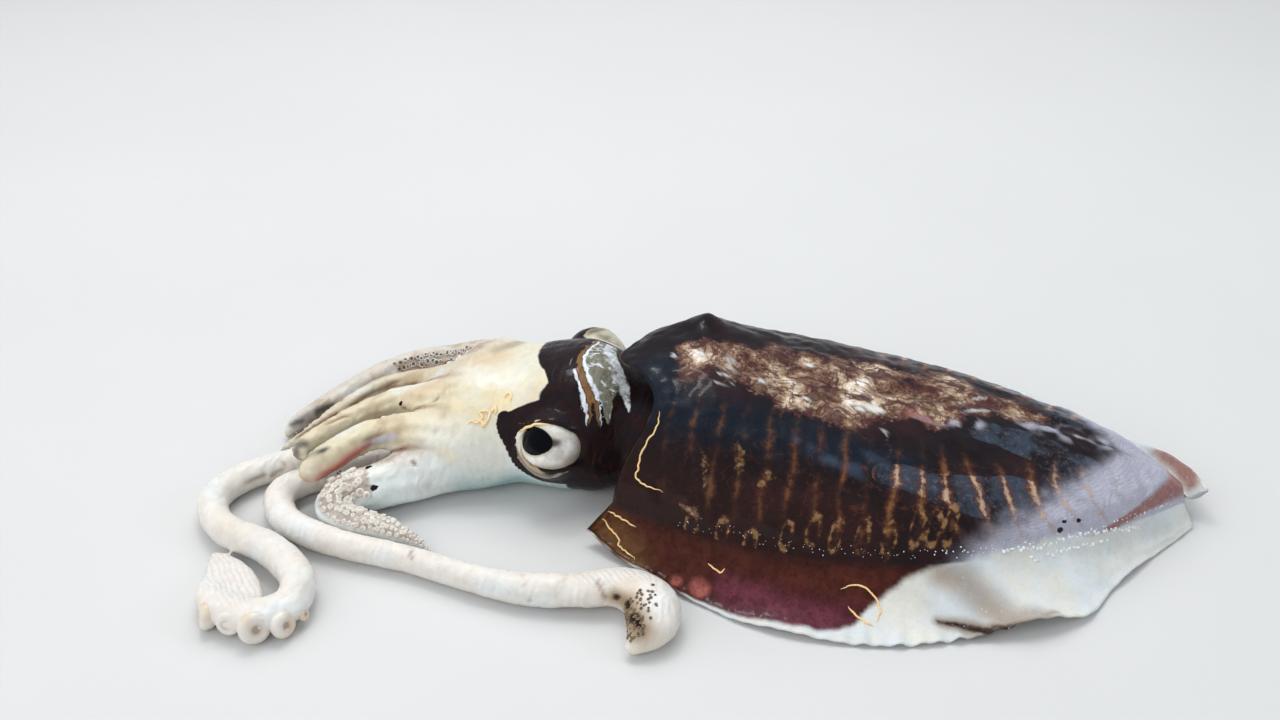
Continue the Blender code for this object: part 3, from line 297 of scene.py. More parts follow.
# How the small forms are shaped and set
ROOT_SOFTENING = 22             # rounds that soften the foot of each fin
SUCKER_RAY = 12.0               # how far from a limb's middle its skin is looked for, mm
DOT_RAY = 90.0
FLOOR_HALF = 1500.0
FLOOR_LIFT = 0.05               # the skin clears the floor by this much, mm
SKIN_MASKS = ("ink", "cream", "film", "lilac", "pale", "bars", "phase", "ovals", "gold", "rust",
              "wrinkle", "specks", "shade", "pleats", "folds", "fold_line", "blue")
CUP = [(0.85, -0.9, 0.0), (0.88, 0.05, 0.1), (1.0, 0.28, 0.0), (0.80, 0.40, 0.1), (0.42, 0.16, 0.9)]
GRAIN = [(0.85, -0.9, 0.0), (1.0, 0.0, 0.0), (0.92, 0.42, 0.0), (0.58, 0.66, 0.1), (0.26, 0.52, 0.6)]
BIG_CUP = [(0.6, -0.8, 0.0), (1.0, -0.25, 0.0), (1.1, 0.15, 0.0), (1.04, 0.42, 0.0), (0.86, 0.6, 0.0),
    (0.6, 0.66, 0.05), (0.36, 0.62, 0.4), (0.22, 0.5, 1.0)]
DOME = [(1.0, -0.3, 0.0), (0.8, 0.25, 0.0), (0.4, 0.5, 0.0)]
ARM_TILTS = (-0.80, -0.27, 0.27, 0.80)
CLUB_TILTS = (-1.2, -0.9, -0.6, -0.3, 0.0, 0.3, 0.6, 0.9)
PUPIL_AIM = (-0.52, 0.67, 0.53)
PUPIL_SQUASH = (0.70, 1.0, 1.32)
SMUDGE_AIM = (0.25, 0.76, 0.61)
WORLD_LIGHT = 0.34
# Each light's name, place, aim, size, power, colour and whether wet skin mirrors it
LIGHTS = [("key", (-0.25, 0.6, 1.05), (-0.02, 0, 0), (1.4, 1.1), 13.0, (1.0, 0.99, 0.97), False), ("left",
    (-0.95, -0.45, 0.75), (-0.08, -0.02, 0), (1.5, 1.1), 6.5, (0.97, 0.98, 1.0), False), ("front",
    (-0.15, -0.95, 0.5), (-0.06, -0.02, 0.01), (1.2, 0.8), 4.5, (1.0, 0.99, 0.97), False), ("side",
    (0.9, 0.15, 0.55), (0.05, 0, 0.02), (0.4, 0.4), 2.4, (0.9, 0.95, 1.0), True), ("glint",
    (-0.3, 0.35, 0.85), (-0.02, 0, 0), (0.22, 0.1), 1.2, (0.95, 0.98, 1.0), True)]

# Thin threads that lie on the skin's wet edges, coloured bright gold as painted glints
EYE_GLINT_THREADS = [[(-124, -28, 26), (-122, -30, 29), (-120, -30.5, 30), (-118, -31, 31), (-115, -31.5, 31),
    (-112.5, -31, 31)], [(-141.8, -29.2, 27.5), (-140.5, -27.8, 28.3), (-138.8, -28.1, 27.7),
    (-138, -26.1, 28.9), (-138.8, -24.9, 29.9), (-137.3, -24.2, 30.2), (-135.6, -24.5, 29.6),
    (-135.8, -26.9, 27.8), (-136.1, -28.9, 26.2)], [(-139.8, -26.6, 29), (-138, -27.6, 28.2),
    (-136.8, -28.4, 26.8), (-136.4, -26.4, 28.2)], [(-135.6, -24.5, 29.6), (-134.6, -23.2, 30.4),
    (-134, -22, 31), (-133.5, -24.4, 29.3)], [(-132.1, -19, 32.9), (-130.8, -17.2, 33.9),
    (-129.6, -18.2, 33.4), (-128.9, -20.4, 32.4)]]
GLINT_THREADS = [[(-76, -30, 42), (-75.5, -32, 40), (-76.5, -35, 37), (-78.5, -38, 34), (-80.5, -40.5, 31),
    (-80, -41.5, 30), (-80.5, -43, 27.5), (-81.5, -44, 26), (-79, -45.5, 24.5), (-75, -46.5, 24),
    (-71, -47.5, 23.5)], [(-92.5, -45, 9), (-90, -47, 7.5), (-88, -49, 6.5), (-86, -51, 6),
    (-84.5, -53.5, 5), (-81.5, -55.5, 4), (-78.5, -57.5, 3.5)], [(-90, -44.5, 11), (-87, -46.5, 11),
    (-83.5, -48, 10.5), (-79.5, -50, 10)], [(-54.5, -60.5, 8), (-52, -62, 7.5), (-50, -63, 7.2),
    (-48.5, -61.5, 8)], [(-13, -64, 8), (-9.5, -62.5, 9), (-6, -62.5, 9), (-3, -64, 7.5), (-1, -66, 6),
    (-0.5, -69.5, 4), (-1, -71, 3)], [(-10, -68, 5.5), (-7.5, -70, 4.5), (-5, -71.5, 3.6),
    (-2, -72.4, 2.6)]]


def smooth(stations, t):
    """The value at t of a curve through (t, value) pairs that never overshoots them."""
    if t <= stations[0][0]:
        return stations[0][1]
    if t >= stations[-1][0]:
        return stations[-1][1]
    rises = [(b[1] - a[1]) / (b[0] - a[0]) for a, b in zip(stations, stations[1:])]
    slopes = [rises[0]]
    for before, after in zip(rises, rises[1:]):
        level = before * after <= 0
        slopes.append(0.0 if level else 2 * before * after / (before + after))
    slopes.append(rises[-1])
    for i, (a, b) in enumerate(zip(stations, stations[1:])):
        if t <= b[0]:
            span = b[0] - a[0]
            u = (t - a[0]) / span
            return ((1 + 2 * u) * (1 - u) ** 2 * a[1] + u * (1 - u) ** 2 * span * slopes[i]
                    + u * u * (3 - 2 * u) * b[1] - u * u * (1 - u) * span * slopes[i + 1])


def table(stations, values):
    """The smooth curve's value at each of many places."""
    grid = np.linspace(stations[0][0], stations[-1][0], 400)
    return np.interp(values, grid, [smooth(stations, t) for t in grid])


def soft(value, low, high):
    """0 below low, 1 above high and smooth between."""
    t = np.clip((value - low) / (high - low), 0.0, 1.0)
    return t * t * (3 - 2 * t)


def lumps(points, size, shift=0.0):
    """Smooth noise from about -1 to 1 whose lumps are about size across."""
    return np.array([noise.noise(Vector(p)) for p in (points / size + shift).tolist()])


def stroke(points, marks, edge=0.45):
    """How much of a brush stroke lies on each point, from 0 to 1."""
    nearest = np.full(len(points), 9.0)
    for a, b in zip(marks, marks[1:]):
        start = np.array(a[:3], float)
        run = np.array(b[:3], float) - start
        along = np.clip(((points - start) @ run) / (run @ run), 0, 1)
        radius = a[3] + (b[3] - a[3]) * along
        away = np.linalg.norm(points - start - along[:, None] * run, axis=1) / radius
        nearest = np.minimum(nearest, away)
    return 1 - soft(nearest, 1 - edge, 1 + edge)


def strokes(points, marks, edge=0.45):
    """The strongest of several brush strokes on each point."""
    return np.max([stroke(points, one, edge) for one in marks], axis=0)


def tinted(colours, mask, colour):
    """Colours with one more colour laid over them where the mask says."""
    return colours + (np.array(colour) - colours) * np.clip(mask, 0, 1)[:, None]


def route_samples(points, step):
    """Evenly spaced (place, radius) samples of a smooth curve through x, y, z, radius points."""
    knots = [Vector(p) for p in points]
    fine = []
    for i in range(len(knots) - 1):
        a, b = knots[i], knots[i + 1]
        before = knots[i - 1] if i else a * 2 - b
        after = knots[i + 2] if i + 2 < len(knots) else b * 2 - a
        for k in range(20):
            u = k / 20
            fine.append(0.5 * (2 * a + (b - before) * u + (2 * before - 5 * a + 4 * b - after) * u * u
                               + (3 * a - before - 3 * b + after) * u ** 3))
    fine.append(knots[-1])
    walked = [0.0]
    for a, b in zip(fine, fine[1:]):
        walked.append(walked[-1] + (b.xyz - a.xyz).length)
    count = max(3, round(walked[-1] / step))
    samples = []
    j = 0
    for i in range(count + 1):
        goal = walked[-1] * i / count
        while j < len(fine) - 2 and walked[j + 1] < goal:
            j += 1
        u = (goal - walked[j]) / max(walked[j + 1] - walked[j], 1e-9)
        here = fine[j].lerp(fine[j + 1], min(max(u, 0.0), 1.0))
        samples.append((here.xyz, here.w))
    return samples


def route_frames(samples, first_tangent=None):
    """A tangent and an up direction at each sample, carried along without needless twist."""
    frames = []
    up = Vector((0, 0, 1))
    for i in range(len(samples)):
        ahead = samples[min(i + 1, len(samples) - 1)][0]
        behind = samples[max(i - 1, 0)][0]
        tangent = (ahead - behind).normalized()
        if i == 0 and first_tangent:
            tangent = Vector(first_tangent)
        up = (up - tangent * up.dot(tangent)).normalized()
        frames.append((tangent, up.copy()))
    return frames


def square_to(direction, tangent):
    """The part of a direction that lies across the tangent, at unit length."""
    direction = Vector(direction)
    return (direction - tangent * direction.dot(tangent)).normalized()


def mesh_object(name, points, faces):
    """A linked mesh object in metres from points in millimetres, with its faces turned outwards."""
    mesh = bpy.data.meshes.new(name)
    mesh.from_pydata((np.array(points, float) * MM).tolist(), [], faces)
    shape = bmesh.new()
    shape.from_mesh(mesh)
    bmesh.ops.recalc_face_normals(shape, faces=shape.faces)
    shape.to_mesh(mesh)
    shape.free()
    mesh.shade_smooth()
    made = bpy.data.objects.new(name, mesh)
    bpy.context.scene.collection.objects.link(made)
    return made


def ring_faces(rows, count, start_tip=None, end_tip=None):
    """The faces of a closed surface over rows of points, each end a tip or a flat face."""
    faces = []
    for i in range(rows - 1):
        for k in range(count):
            m = (k + 1) % count
            faces.append((i * count + k, i * count + m, (i + 1) * count + m, (i + 1) * count + k))
    last = (rows - 1) * count
    if start_tip is None:
        faces.append(tuple(range(count)))
    else:
        faces += [(start_tip, (k + 1) % count, k) for k in range(count)]
    if end_tip is None:
        faces.append(tuple(reversed(range(last, last + count))))
    else:
        faces += [(end_tip, last + k, last + (k + 1) % count) for k in range(count)]
    return faces


def loft(name, rings, end_tip=None):
    """A closed surface object over rings of equal count."""
    points = [p for ring in rings for p in ring]
    tip = None
    if end_tip is not None:
        tip = len(points)
        points.append(end_tip)
    return mesh_object(name, points, ring_faces(len(rings), len(rings[0]), None, tip))


def ball(name, centre, radius, columns=32, rows=16):
    """A round body of latitude rings about the vertical."""
    rings = []
    for i in range(1, rows):
        lift = math.pi * i / rows
        rings.append([centre + radius * Vector((math.sin(lift) * math.cos(2 * math.pi * k / columns),
                                                math.sin(lift) * math.sin(2 * math.pi * k / columns),
                                                -math.cos(lift)))
                      for k in range(columns)])
    points = [p for ring in rings for p in ring]
    points += [centre - Vector((0, 0, radius)), centre + Vector((0, 0, radius))]
    return mesh_object(name, points, ring_faces(len(rings), columns, len(points) - 2, len(points) - 1))


def evaluated_mesh(thing):
    """A plain mesh of an object with its modifiers applied."""
    bpy.context.view_layer.update()
    seen = thing.evaluated_get(bpy.context.evaluated_depsgraph_get())
    return bpy.data.meshes.new_from_object(seen)


def cut_with(target, tools, operation):
    """Joins or cuts the target with closed meshes, one after another, and removes them."""
    for tool in tools:
        cut = target.modifiers.new("cut", "BOOLEAN")
        cut.operation = operation
        cut.solver = "EXACT"
        cut.object = tool
        mesh = evaluated_mesh(target)
        target.modifiers.clear()
        target.data = mesh
        bpy.data.objects.remove(tool)


def section(x, half_width, top, side, angle, middle=0.0, shrink=0.0, floor=0.0):
    """A point of the body's section: an arch above its widest line and a flat belly below."""
    y = middle + (half_width - shrink) * math.cos(angle)
    if math.sin(angle) >= 0:
        z = side + (top - shrink - side) * math.sin(angle)
    else:
        z = max(floor, side - side * BELLY_STEEPNESS * abs(math.sin(angle)))
    return Vector((x, y, z))


def front_margin(angle):
    """Where the free front edge stands at this angle: a lobe on the back, corners low down."""
    across = abs(math.cos(angle))
    if math.sin(angle) > 0:
        away = min(across / 0.56, 1.0)
        lobe = LOBE_REACH * (1 - away * away * (3 - 2 * away))
        low = max(0.0, (across - 0.6) / 0.4)
        return LOBE_X + LOBE_REACH - lobe - CORNER_REACH * low ** 1.5
    return LOBE_X + LOBE_REACH - CORNER_REACH * across ** 2


def mantle_point(share, angle):
    """A point of the mantle's skin at a share of its length and an angle round it."""
    start = front_margin(angle)
    x = start + (TAIL_X - start) * share
    point = section(x, smooth(HALF_WIDTHS, x), smooth(BACK_HEIGHTS, x), smooth(SIDE_HEIGHTS, x),
                    angle, smooth(MIDLINE, x))
    if math.sin(angle) > 0.3:
        bump_x, bump_y, spread, lift = SHOULDER_BUMP
        away = ((x - bump_x) ** 2 + (point.y - bump_y) ** 2) / spread ** 2
        point.z += lift * math.exp(-away)
    return point


def pocket_point(depth, angle):
    """A point inside the mantle's opening, from its lip (0) to the back of the pocket (1)."""
    start = front_margin(angle)
    x = start + (POCKET_X - start) * depth
    wall = LIP_WALL + (MANTLE_WALL - LIP_WALL) * min(1.0, depth * 3)
    return section(x, smooth(HALF_WIDTHS, x), smooth(BACK_HEIGHTS, x), 12.0, angle,
                   smooth(MIDLINE, x), wall, POCKET_FLOOR)


FinLine = namedtuple("FinLine", "high low out width side")


def fin_line(share, side):
    """The fin's root, its direction outwards and its width at a share of the mantle's length."""
    angles = (FIN_ROOT_ANGLE, -FIN_ROOT_ANGLE) if side > 0 else (math.pi - FIN_ROOT_ANGLE,
                                                                  math.pi + FIN_ROOT_ANGLE)
    high, low = (mantle_point(share, angle) for angle in angles)
    ahead = mantle_point(min(share + 0.02, 1), angles[0])
    behind = mantle_point(max(share - 0.02, 0), angles[0])
    run = (ahead - behind).xy.normalized()
    out = Vector((run.y, -run.x, 0)) if side < 0 else Vector((-run.y, run.x, 0))
    out = out.lerp(Vector((-0.95, 0.3 * side, 0)), max(0, 0.85 - share * 9)).normalized()
    if side > 0:
        out = out.lerp(TAIL_TURN, max(0, share * 12 - 11)).normalized()
    return FinLine(high, low, out, smooth(FIN_WIDTHS[side], share), side)


def fin_point(line, share, v, level, frill):
    """A point of a fin: v runs from its root to its edge, and level from its under to its upper face."""
    folds = FIN_FOLDS + [TAIL_FOLD] if line.side > 0 else FIN_FOLDS
    rise = sum(lift * math.exp(-((share - at) / spread) ** 2) for at, lift, spread in folds) * v * v
    wave = math.sin(share * 235 + line.side) * 0.6 + math.sin(share * 141 + 2.0) * 0.4
    rise += frill * (1 + wave) * v ** 5
    thick = (line.high.z - line.low.z) * (1 - v) ** 1.5 + FIN_EDGE * v
    base = line.low.z * (1 - v) ** 1.7 + rise
    reach = line.width * v + (0.35 if 0 < level < 1 else 0.0)
    foot = line.low.xy.lerp(line.high.xy, level).to_3d()
    return foot + line.out * reach + Vector((0, 0, base + thick * level))


def body_lines(look):
    """The lines that run along the body, in order round it: angle, side, v and level of each."""
    lines = []
    over = math.pi - 2 * FIN_ROOT_ANGLE
    rows = look.fin_rows
    under = max(6, rows // 2)
    for k in range(look.back_columns + 1):
        lines.append((FIN_ROOT_ANGLE + over * k / look.back_columns, 0, 0.0, 1.0))
    lines += [(math.pi - FIN_ROOT_ANGLE, -1, (k + 1) / rows, 1.0) for k in range(rows)]
    lines.append((math.pi, -1, 1.0, 0.5))
    lines += [(math.pi + FIN_ROOT_ANGLE, -1, 1 - k / under, 0.0) for k in range(under)]
    for k in range(look.belly_columns + 1):
        lines.append((math.pi + FIN_ROOT_ANGLE + over * k / look.belly_columns, 0, 0.0, 0.0))
    lines += [(-FIN_ROOT_ANGLE, 1, (k + 1) / under, 0.0) for k in range(under)]
    lines.append((0.0, 1, 1.0, 0.5))
    lines += [(FIN_ROOT_ANGLE, 1, 1 - k / rows, 1.0) for k in range(rows)]
    return lines


def frill_at(share):
    """How much the fin's edge is frilled at a share of the mantle's length."""
    return 0.25 + 0.75 * math.exp(-((share - 0.55) / 0.14) ** 2)


def body_row(share, lines, shrink=None):
    """One row of points round the mantle and both fins, or drawn in to end the fins."""
    fins = {side: fin_line(share, side) for side in (-1, 1)}
    row = []
    for angle, side, v, level in lines:
        if not side:
            row.append(mantle_point(share, angle))
        elif shrink is None:
            row.append(fin_point(fins[side], share, v, level, frill_at(share)))
        else:
            middle = fin_point(fins[side], share, v * 0.985, 0.5, frill_at(share))
            row.append(middle + Vector((shrink, 0, 0)))
    return row


def soften_roots(rows, lines):
    """Rounds the hollow between the flank and each fin, and the step under it."""
    grid = np.array([[tuple(p) for p in row] for row in rows])
    count = len(lines)
    weight = np.zeros(count)
    for k in range(count):
        if bool(lines[k][1]) != bool(lines[k - 1][1]):
            away = np.abs((np.arange(count) - k + count // 2) % count - count // 2)
            weight = np.maximum(weight, 0.5 * (1 - soft(away, 2, 9)))
    for _ in range(ROOT_SOFTENING):
        between = (np.roll(grid, 1, axis=1) + np.roll(grid, -1, axis=1)) / 2
        grid += weight[None, :, None] * (between - grid)
    return grid


def body_surface(look):
    """The mantle with its pocket and both fins as one closed surface, with each point's place on it."""
    lines = body_lines(look)
    count = len(lines)
    inner = [[pocket_point(depth, angle) for angle, *_ in lines]
             for depth in (1.0, 0.8, 0.6, 0.45, 0.3, 0.2, 0.1, 0.04, 0.0)]
    back = [p.lerp(Vector((POCKET_X, 0, 20)), 0.45) for p in inner[0]]
    lip = [pocket_point(0.0, angle).lerp(mantle_point(0.0, angle), 0.5) - Vector((0.7, 0, 0))
           for angle, *_ in lines]
    shares = [i / look.mantle_rings for i in range(look.mantle_rings + 1)]
    shares = [s + 0.035 * math.sin(2 * math.pi * (s - 0.5)) for s in shares]
    nose = [p if side else q for p, q, (_, side, _, _) in zip(body_row(0.0, lines, -0.35), lip, lines)]
    outer = soften_roots([body_row(share, lines) for share in shares], lines)
    end = body_row(1.0, lines, 0.35)
    centre = Vector((TAIL_X, smooth(MIDLINE, TAIL_X), 0.5 * smooth(BACK_HEIGHTS, TAIL_X)))
    cap = [p if side else p.lerp(centre, 0.35) + Vector((1.0, 0, 0))
           for p, (_, side, _, _) in zip(end, lines)]
    closed = [centre.lerp(p, 0.35) + Vector((1.6, 0, 0)) if not side else centre + Vector((1.2, 0, 0))
              for p, (_, side, _, _) in zip(end, lines)]
    before = [back] + inner + [lip, nose]
    rows = [np.array([tuple(p) for p in row]) for row in before]
    rows += list(outer) + [np.array([tuple(p) for p in row]) for row in (cap, closed)]
    points = np.concatenate(rows)
    tips = np.array([[POCKET_X, 0, 20], tuple(centre + Vector((1.8, 0, 0)))])
    places = np.zeros((len(points) + 2, 4))
    row_shares = [0.0] * len(before) + shares + [1.0, 1.0]
    for i, share in enumerate(row_shares):
        for k, (angle, side, v, level) in enumerate(lines):
            across = 1 + v if side else abs(angle - math.pi / 2) / (math.pi / 2)
            inside = i < len(before) - 1
            places[i * count + k] = (across if angle < math.pi + 0.01 or side else 2.5, level,
                                     share, inside)
    faces = ring_faces(len(rows), count, len(points), len(points) + 1)
    return np.concatenate([points, tips]), faces, places


def tube(samples, frames, sides, height=1.0):
    """A closed tube round a route, flat where it meets the floor and round at its end."""
    place, radius = samples[-1]
    tangent = frames[-1][0]
    ends = [(place + tangent * radius * math.sin(t), radius * math.cos(t))
            for t in (0.35, 0.7, 1.0, 1.25)]
    rings = []
    for (spot, size), (along, up) in zip(samples + ends, frames + [frames[-1]] * len(ends)):
        side = along.cross(up)
        ring = []
        for k in range(sides):
            angle = 2 * math.pi * (k + 0.5) / sides
            point = spot + side * (size * math.cos(angle)) + up * (size * height * math.sin(angle))
            point.z = max(point.z, 0.0)
            ring.append(point)
        rings.append(ring)
    return loft("tube", rings, place + tangent * radius)


def section_loft(stations, columns, floor=0.0):
    """A closed body over the head's or neck's sections, with rings about a millimetre apart."""
    first, last = stations[0][0], stations[-1][0]
    count = max(3, round(abs(last - first) / 1.3))
    curves = [sorted((-x if first > last else x, row[i]) for row in stations for x in [row[0]])
              for i in (1, 2, 3)]
    rings = []
    for n in range(count + 1):
        x = first + (last - first) * n / count
        key = -x if first > last else x
        width, top, side = (smooth(curve, key) for curve in curves)
        ring = []
        for k in range(columns):
            point = section(x, width, top, side, 2 * math.pi * (k + 0.5) / columns)
            point.z = max(point.z, floor)
            ring.append(point)
        rings.append(ring)
    return loft("part", rings)


def lid_cutter(side):
    """A flared oval plug that opens the lids in front of an eyeball."""
    aim = Vector((EYE_AIM[0], EYE_AIM[1] * side, EYE_AIM[2])).normalized()
    along = (Vector((1, 0, 0)) - aim * aim.x).normalized()
    across = aim.cross(along)
    rings = []
    for reach, grow in ((-2.0, 0.72), (4.0, 0.92), (9.0, 1.0), (16.0, 1.22)):
        rings.append([EYE_PLACES[side] + aim * reach
                      + along * (LID_OPENING[0] * grow * math.cos(2 * math.pi * k / 36))
                      + across * (LID_OPENING[1] * grow * math.sin(2 * math.pi * k / 36))
                      for k in range(36)])
    return loft("plug", rings)


def funnel_body():
    """The siphon under the neck, open at its mouth."""
    rings = [[Vector((x, half_width * math.cos(2 * math.pi * k / 28),
                      z + half_height * math.sin(2 * math.pi * k / 28)))
              for k in range(28)] for x, z, half_width, half_height in FUNNEL]
    funnel = loft("funnel", rings)
    x, z, _, _ = FUNNEL[-1]
    bore = [[Vector((x + reach, 1.3 * radius * math.cos(2 * math.pi * k / 24),
                     z + 0.72 * radius * math.sin(2 * math.pi * k / 24)))
             for k in range(24)]
            for reach, radius in ((-2.0, FUNNEL_MOUTH), (0.0, FUNNEL_MOUTH),
                                  (FUNNEL_BORE, FUNNEL_MOUTH * 0.6))]
    cut_with(funnel, [loft("bore", bore)], "DIFFERENCE")
    return funnel


def fused(parts, voxel, rounds):
    """Points and faces of one closed surface over closed parts that overlap, rounded where they meet."""
    points, faces = [], []
    for part in parts:
        start = len(points)
        points += [tuple(v.co / MM) for v in part.data.vertices]
        faces += [tuple(start + i for i in f.vertices) for f in part.data.polygons]
        bpy.data.objects.remove(part)
    whole = mesh_object("fused", points, faces)
    shell = whole.modifiers.new("shell", "REMESH")
    shell.mode = "VOXEL"
    shell.voxel_size = voxel
    even = whole.modifiers.new("even", "SMOOTH")
    even.factor = 0.5
    even.iterations = rounds
    mesh = evaluated_mesh(whole)
    co = np.empty(len(mesh.vertices) * 3)
    mesh.vertices.foreach_get("co", co)
    found = [tuple(f.vertices) for f in mesh.polygons]
    bpy.data.objects.remove(whole)
    bpy.data.meshes.remove(mesh)
    return co.reshape(-1, 3) / MM, found


def relaxed(points, faces, weights, rounds):
    """Points drawn towards the middle of their neighbours, where the weights say."""
    edges = np.array([(face[i - 1], face[i]) for face in faces for i in range(len(face))])
    count = np.bincount(edges.ravel(), minlength=len(points))[:, None]
    for _ in range(rounds):
        total = np.zeros_like(points)
        np.add.at(total, edges[:, 0], points[edges[:, 1]])
        np.add.at(total, edges[:, 1], points[edges[:, 0]])
        points = points + weights[:, None] * (total / count - points)
    return points


def head_surface(look):
    """The head, neck, funnel and eight arms as one closed surface."""
    head = section_loft(HEAD_STATIONS, 72)
    lids = [ball("lid", EYE_PLACES[s] - Vector((0, s * 0.6, 0)), LID_RADIUS, 96, 48) for s in (-1, 1)]
    cut_with(head, lids, "UNION")
    cut_with(head, [lid_cutter(s) for s in (-1, 1)], "DIFFERENCE")
    parts = [head, mesh_object("crown", *crown_surface(look)),
             section_loft(NECK_STATIONS, 64, NECK_FLOOR), funnel_body()]
    points, faces = fused(parts, look.voxel, look.rounding)
    x = points[:, 0]
    crown = soft(-x, 124, 134) * (1 - soft(-x, 152, 166))
    nape = soft(-x, 84, 92) * (1 - soft(-x, 101, 108)) * (points[:, 2] > 12)
    return relaxed(points, faces, np.maximum(crown, nape) * 0.5, look.crown_rounding), faces


def rooted(route):
    """A limb's route with its root carried well back inside the head."""
    x, y, z, radius = route[0]
    return [(x + 17, y * 0.80, z * 0.86 + 2, radius * 0.85), (x + 8, y * 0.92, z * 0.95 + 0.7, radius * 0.97),
            *route]


def web_balls(near, far, share):
    """Balls that fill the skin between two arms up to a hollow edge."""
    sides = [route_samples(rooted(ARMS[name].route), 1.6) for name in (near, far)]
    count = round(share * min(len(side) for side in sides))
    balls = []
    for k in range(count + 1):
        (a, wide_a), (b, wide_b) = (side[k] for side in sides)
        along = k / count
        for n in range(1, 10):
            u = n / 10
            middle = 1 - abs(2 * u - 1)
            if along > 1 - 0.45 * middle:
                continue
            thick = (wide_a + (wide_b - wide_a) * u) * (0.95 - 0.5 * middle * along ** 1.5)
            balls.append((a.lerp(b, u), thick))
    return balls


def ball_field(axes, balls, margin=12.0):
    """How far each grid point lies outside the nearest of many balls, up to a margin."""
    field = np.full([len(axis) for axis in axes], margin, np.float32)
    for place, radius in balls:
        reach = radius + margin
        block = tuple(slice(*np.searchsorted(axis, (c - reach, c + reach)))
                      for axis, c in zip(axes, place))
        x, y, z = (axis[part] - c for axis, part, c in zip(axes, block, place))
        away = np.sqrt(x[:, None, None] ** 2 + y[:, None] ** 2 + z ** 2) - radius
        field[block] = np.minimum(field[block], away)
    return field


def blended(a, b, reach):
    """The union of two fields with a soft fillet between them."""
    near = np.maximum(reach - np.abs(a - b), 0)
    return np.minimum(a, b) - near * near / (4 * reach)


def net_over(field, axes):
    """Points and faces of the surface on which a field over a grid is zero."""
    cells = tuple(n - 1 for n in field.shape)
    total, count = np.zeros((*cells, 3), np.float32), np.zeros(cells, np.float32)
    crossings = []
    for axis in range(3):
        turned = np.moveaxis(field, axis, 0)
        low, high = turned[:-1], turned[1:]
        cross = (low < 0) != (high < 0)
        crossings.append(cross)
        part = np.where(cross, low / np.where(cross, low - high, 1), 0)
        turned_total, turned_count = np.moveaxis(total, axis, 0), np.moveaxis(count, axis, 0)
        second, third = (a for a in range(3) if a != axis)
        i, j, k = np.ogrid[tuple(slice(0, n) for n in turned_count.shape)]
        for dj in (0, 1):
            for dk in (0, 1):
                near = (slice(None), slice(dj, dj + cells[second]), slice(dk, dk + cells[third]))
                here = cross[near]
                turned_count += here
                turned_total[..., axis] += here * (i + part[near])
                turned_total[..., second] += here * (j + dj)
                turned_total[..., third] += here * (k + dk)
    used = count > 0
    number = np.full(cells, -1)
    number[used] = np.arange(used.sum())
    faces = []
    for axis, cross in enumerate(crossings):
        n = np.moveaxis(number, axis, 0)
        i, j, k = np.nonzero(cross[:, 1:-1, 1:-1])
        faces += np.stack([n[i, j, k], n[i, j + 1, k], n[i, j + 1, k + 1], n[i, j, k + 1]], 1).tolist()
    start = np.array([axis[0] for axis in axes])
    step = axes[0][1] - axes[0][0]
    return start + step * total[used] / count[used][:, None], faces


def crown_surface(look):
    """The front of the head, the arms and the skin between them, grown together softly."""
    axes = [np.arange(low, high, look.crown_step / MM) for low, high in CROWN_GRID]
    x, y, z = np.meshgrid(*axes, indexing="ij", sparse=True)
    reach = table(BLEND_REACHES, axes[0])[:, None, None]
    arms = None
    for arm in ARMS.values():
        one = ball_field(axes, route_samples(rooted(arm.route), 0.8))
        arms = one if arms is None else blended(arms, one, reach)
    webs = ball_field(axes, [ball for between in WEBS for ball in web_balls(*between)])
    whole = blended(arms, webs, 4.0)
    stations = sorted(HEAD_STATIONS + CROWN_STATIONS[1:])
    width, top, side = (table([(row[0], row[i]) for row in stations], axes[0])[:, None, None]
                        for i in (1, 2, 3))
    rise = np.where(z > side, (z - side) / (top - side), (z - side) / (side * BELLY_STEEPNESS))
    head = (np.sqrt((y / width) ** 2 + rise ** 2) - 1) * np.minimum(width, top - side)
    head = np.maximum(head, stations[0][0] - x)
    whole = blended(whole, head, reach * 0.7)
    return net_over(np.maximum(np.maximum(whole, -z), x + 126.5), axes)


def tentacle_surface(look, name):
    """A tentacle's stalk and club as one closed surface."""
    samples = route_samples(rooted(STALKS[name]), 1.4)
    parts = [tube(samples, route_frames(samples), 28)]
    samples = route_samples([STALKS[name][-1]] + CLUBS[name], 1.4)
    parts.append(tube(samples, route_frames(samples), 30, CLUB_HEIGHT))
    if name == "right":
        samples = route_samples(BLADE_ROUTE, 1.4)
        parts.append(tube(samples, route_frames(samples), 32, BLADE_HEIGHT))
    return fused(parts, look.voxel, look.rounding)


def limb_places(points, routes):
    """For each point its nearest route, the share along it, the way out and how near the next one is."""
    spots, sizes, owners, shares = [], [], [], []
    for n, route in enumerate(routes):
        samples = route_samples(route, 2.0)
        for i, (place, radius) in enumerate(samples):
            spots.append(tuple(place))
            sizes.append(radius)
            owners.append(n)
            shares.append(i / (len(samples) - 1))
    spots, sizes = np.array(spots), np.array(sizes)
    owners, shares = np.array(owners), np.array(shares)
    firsts = np.flatnonzero(np.diff(owners, prepend=-1))
    nearest = np.zeros(len(points), int)
    rival = np.full(len(points), 9.0)
    for start in range(0, len(points), 4000):
        block = points[start:start + 4000]
        away = np.linalg.norm(block[:, None, :] - spots[None], axis=2) - sizes[None]
        nearest[start:start + 4000] = np.argmin(away, axis=1)
        if len(firsts) > 1:
            each = np.sort(np.minimum.reduceat(away, firsts, axis=1), axis=1)
            rival[start:start + 4000] = each[:, 1] - each[:, 0]
    outward = points - spots[nearest]
    outward /= np.linalg.norm(outward, axis=1)[:, None] + 1e-9
    return owners[nearest], shares[nearest], outward, rival


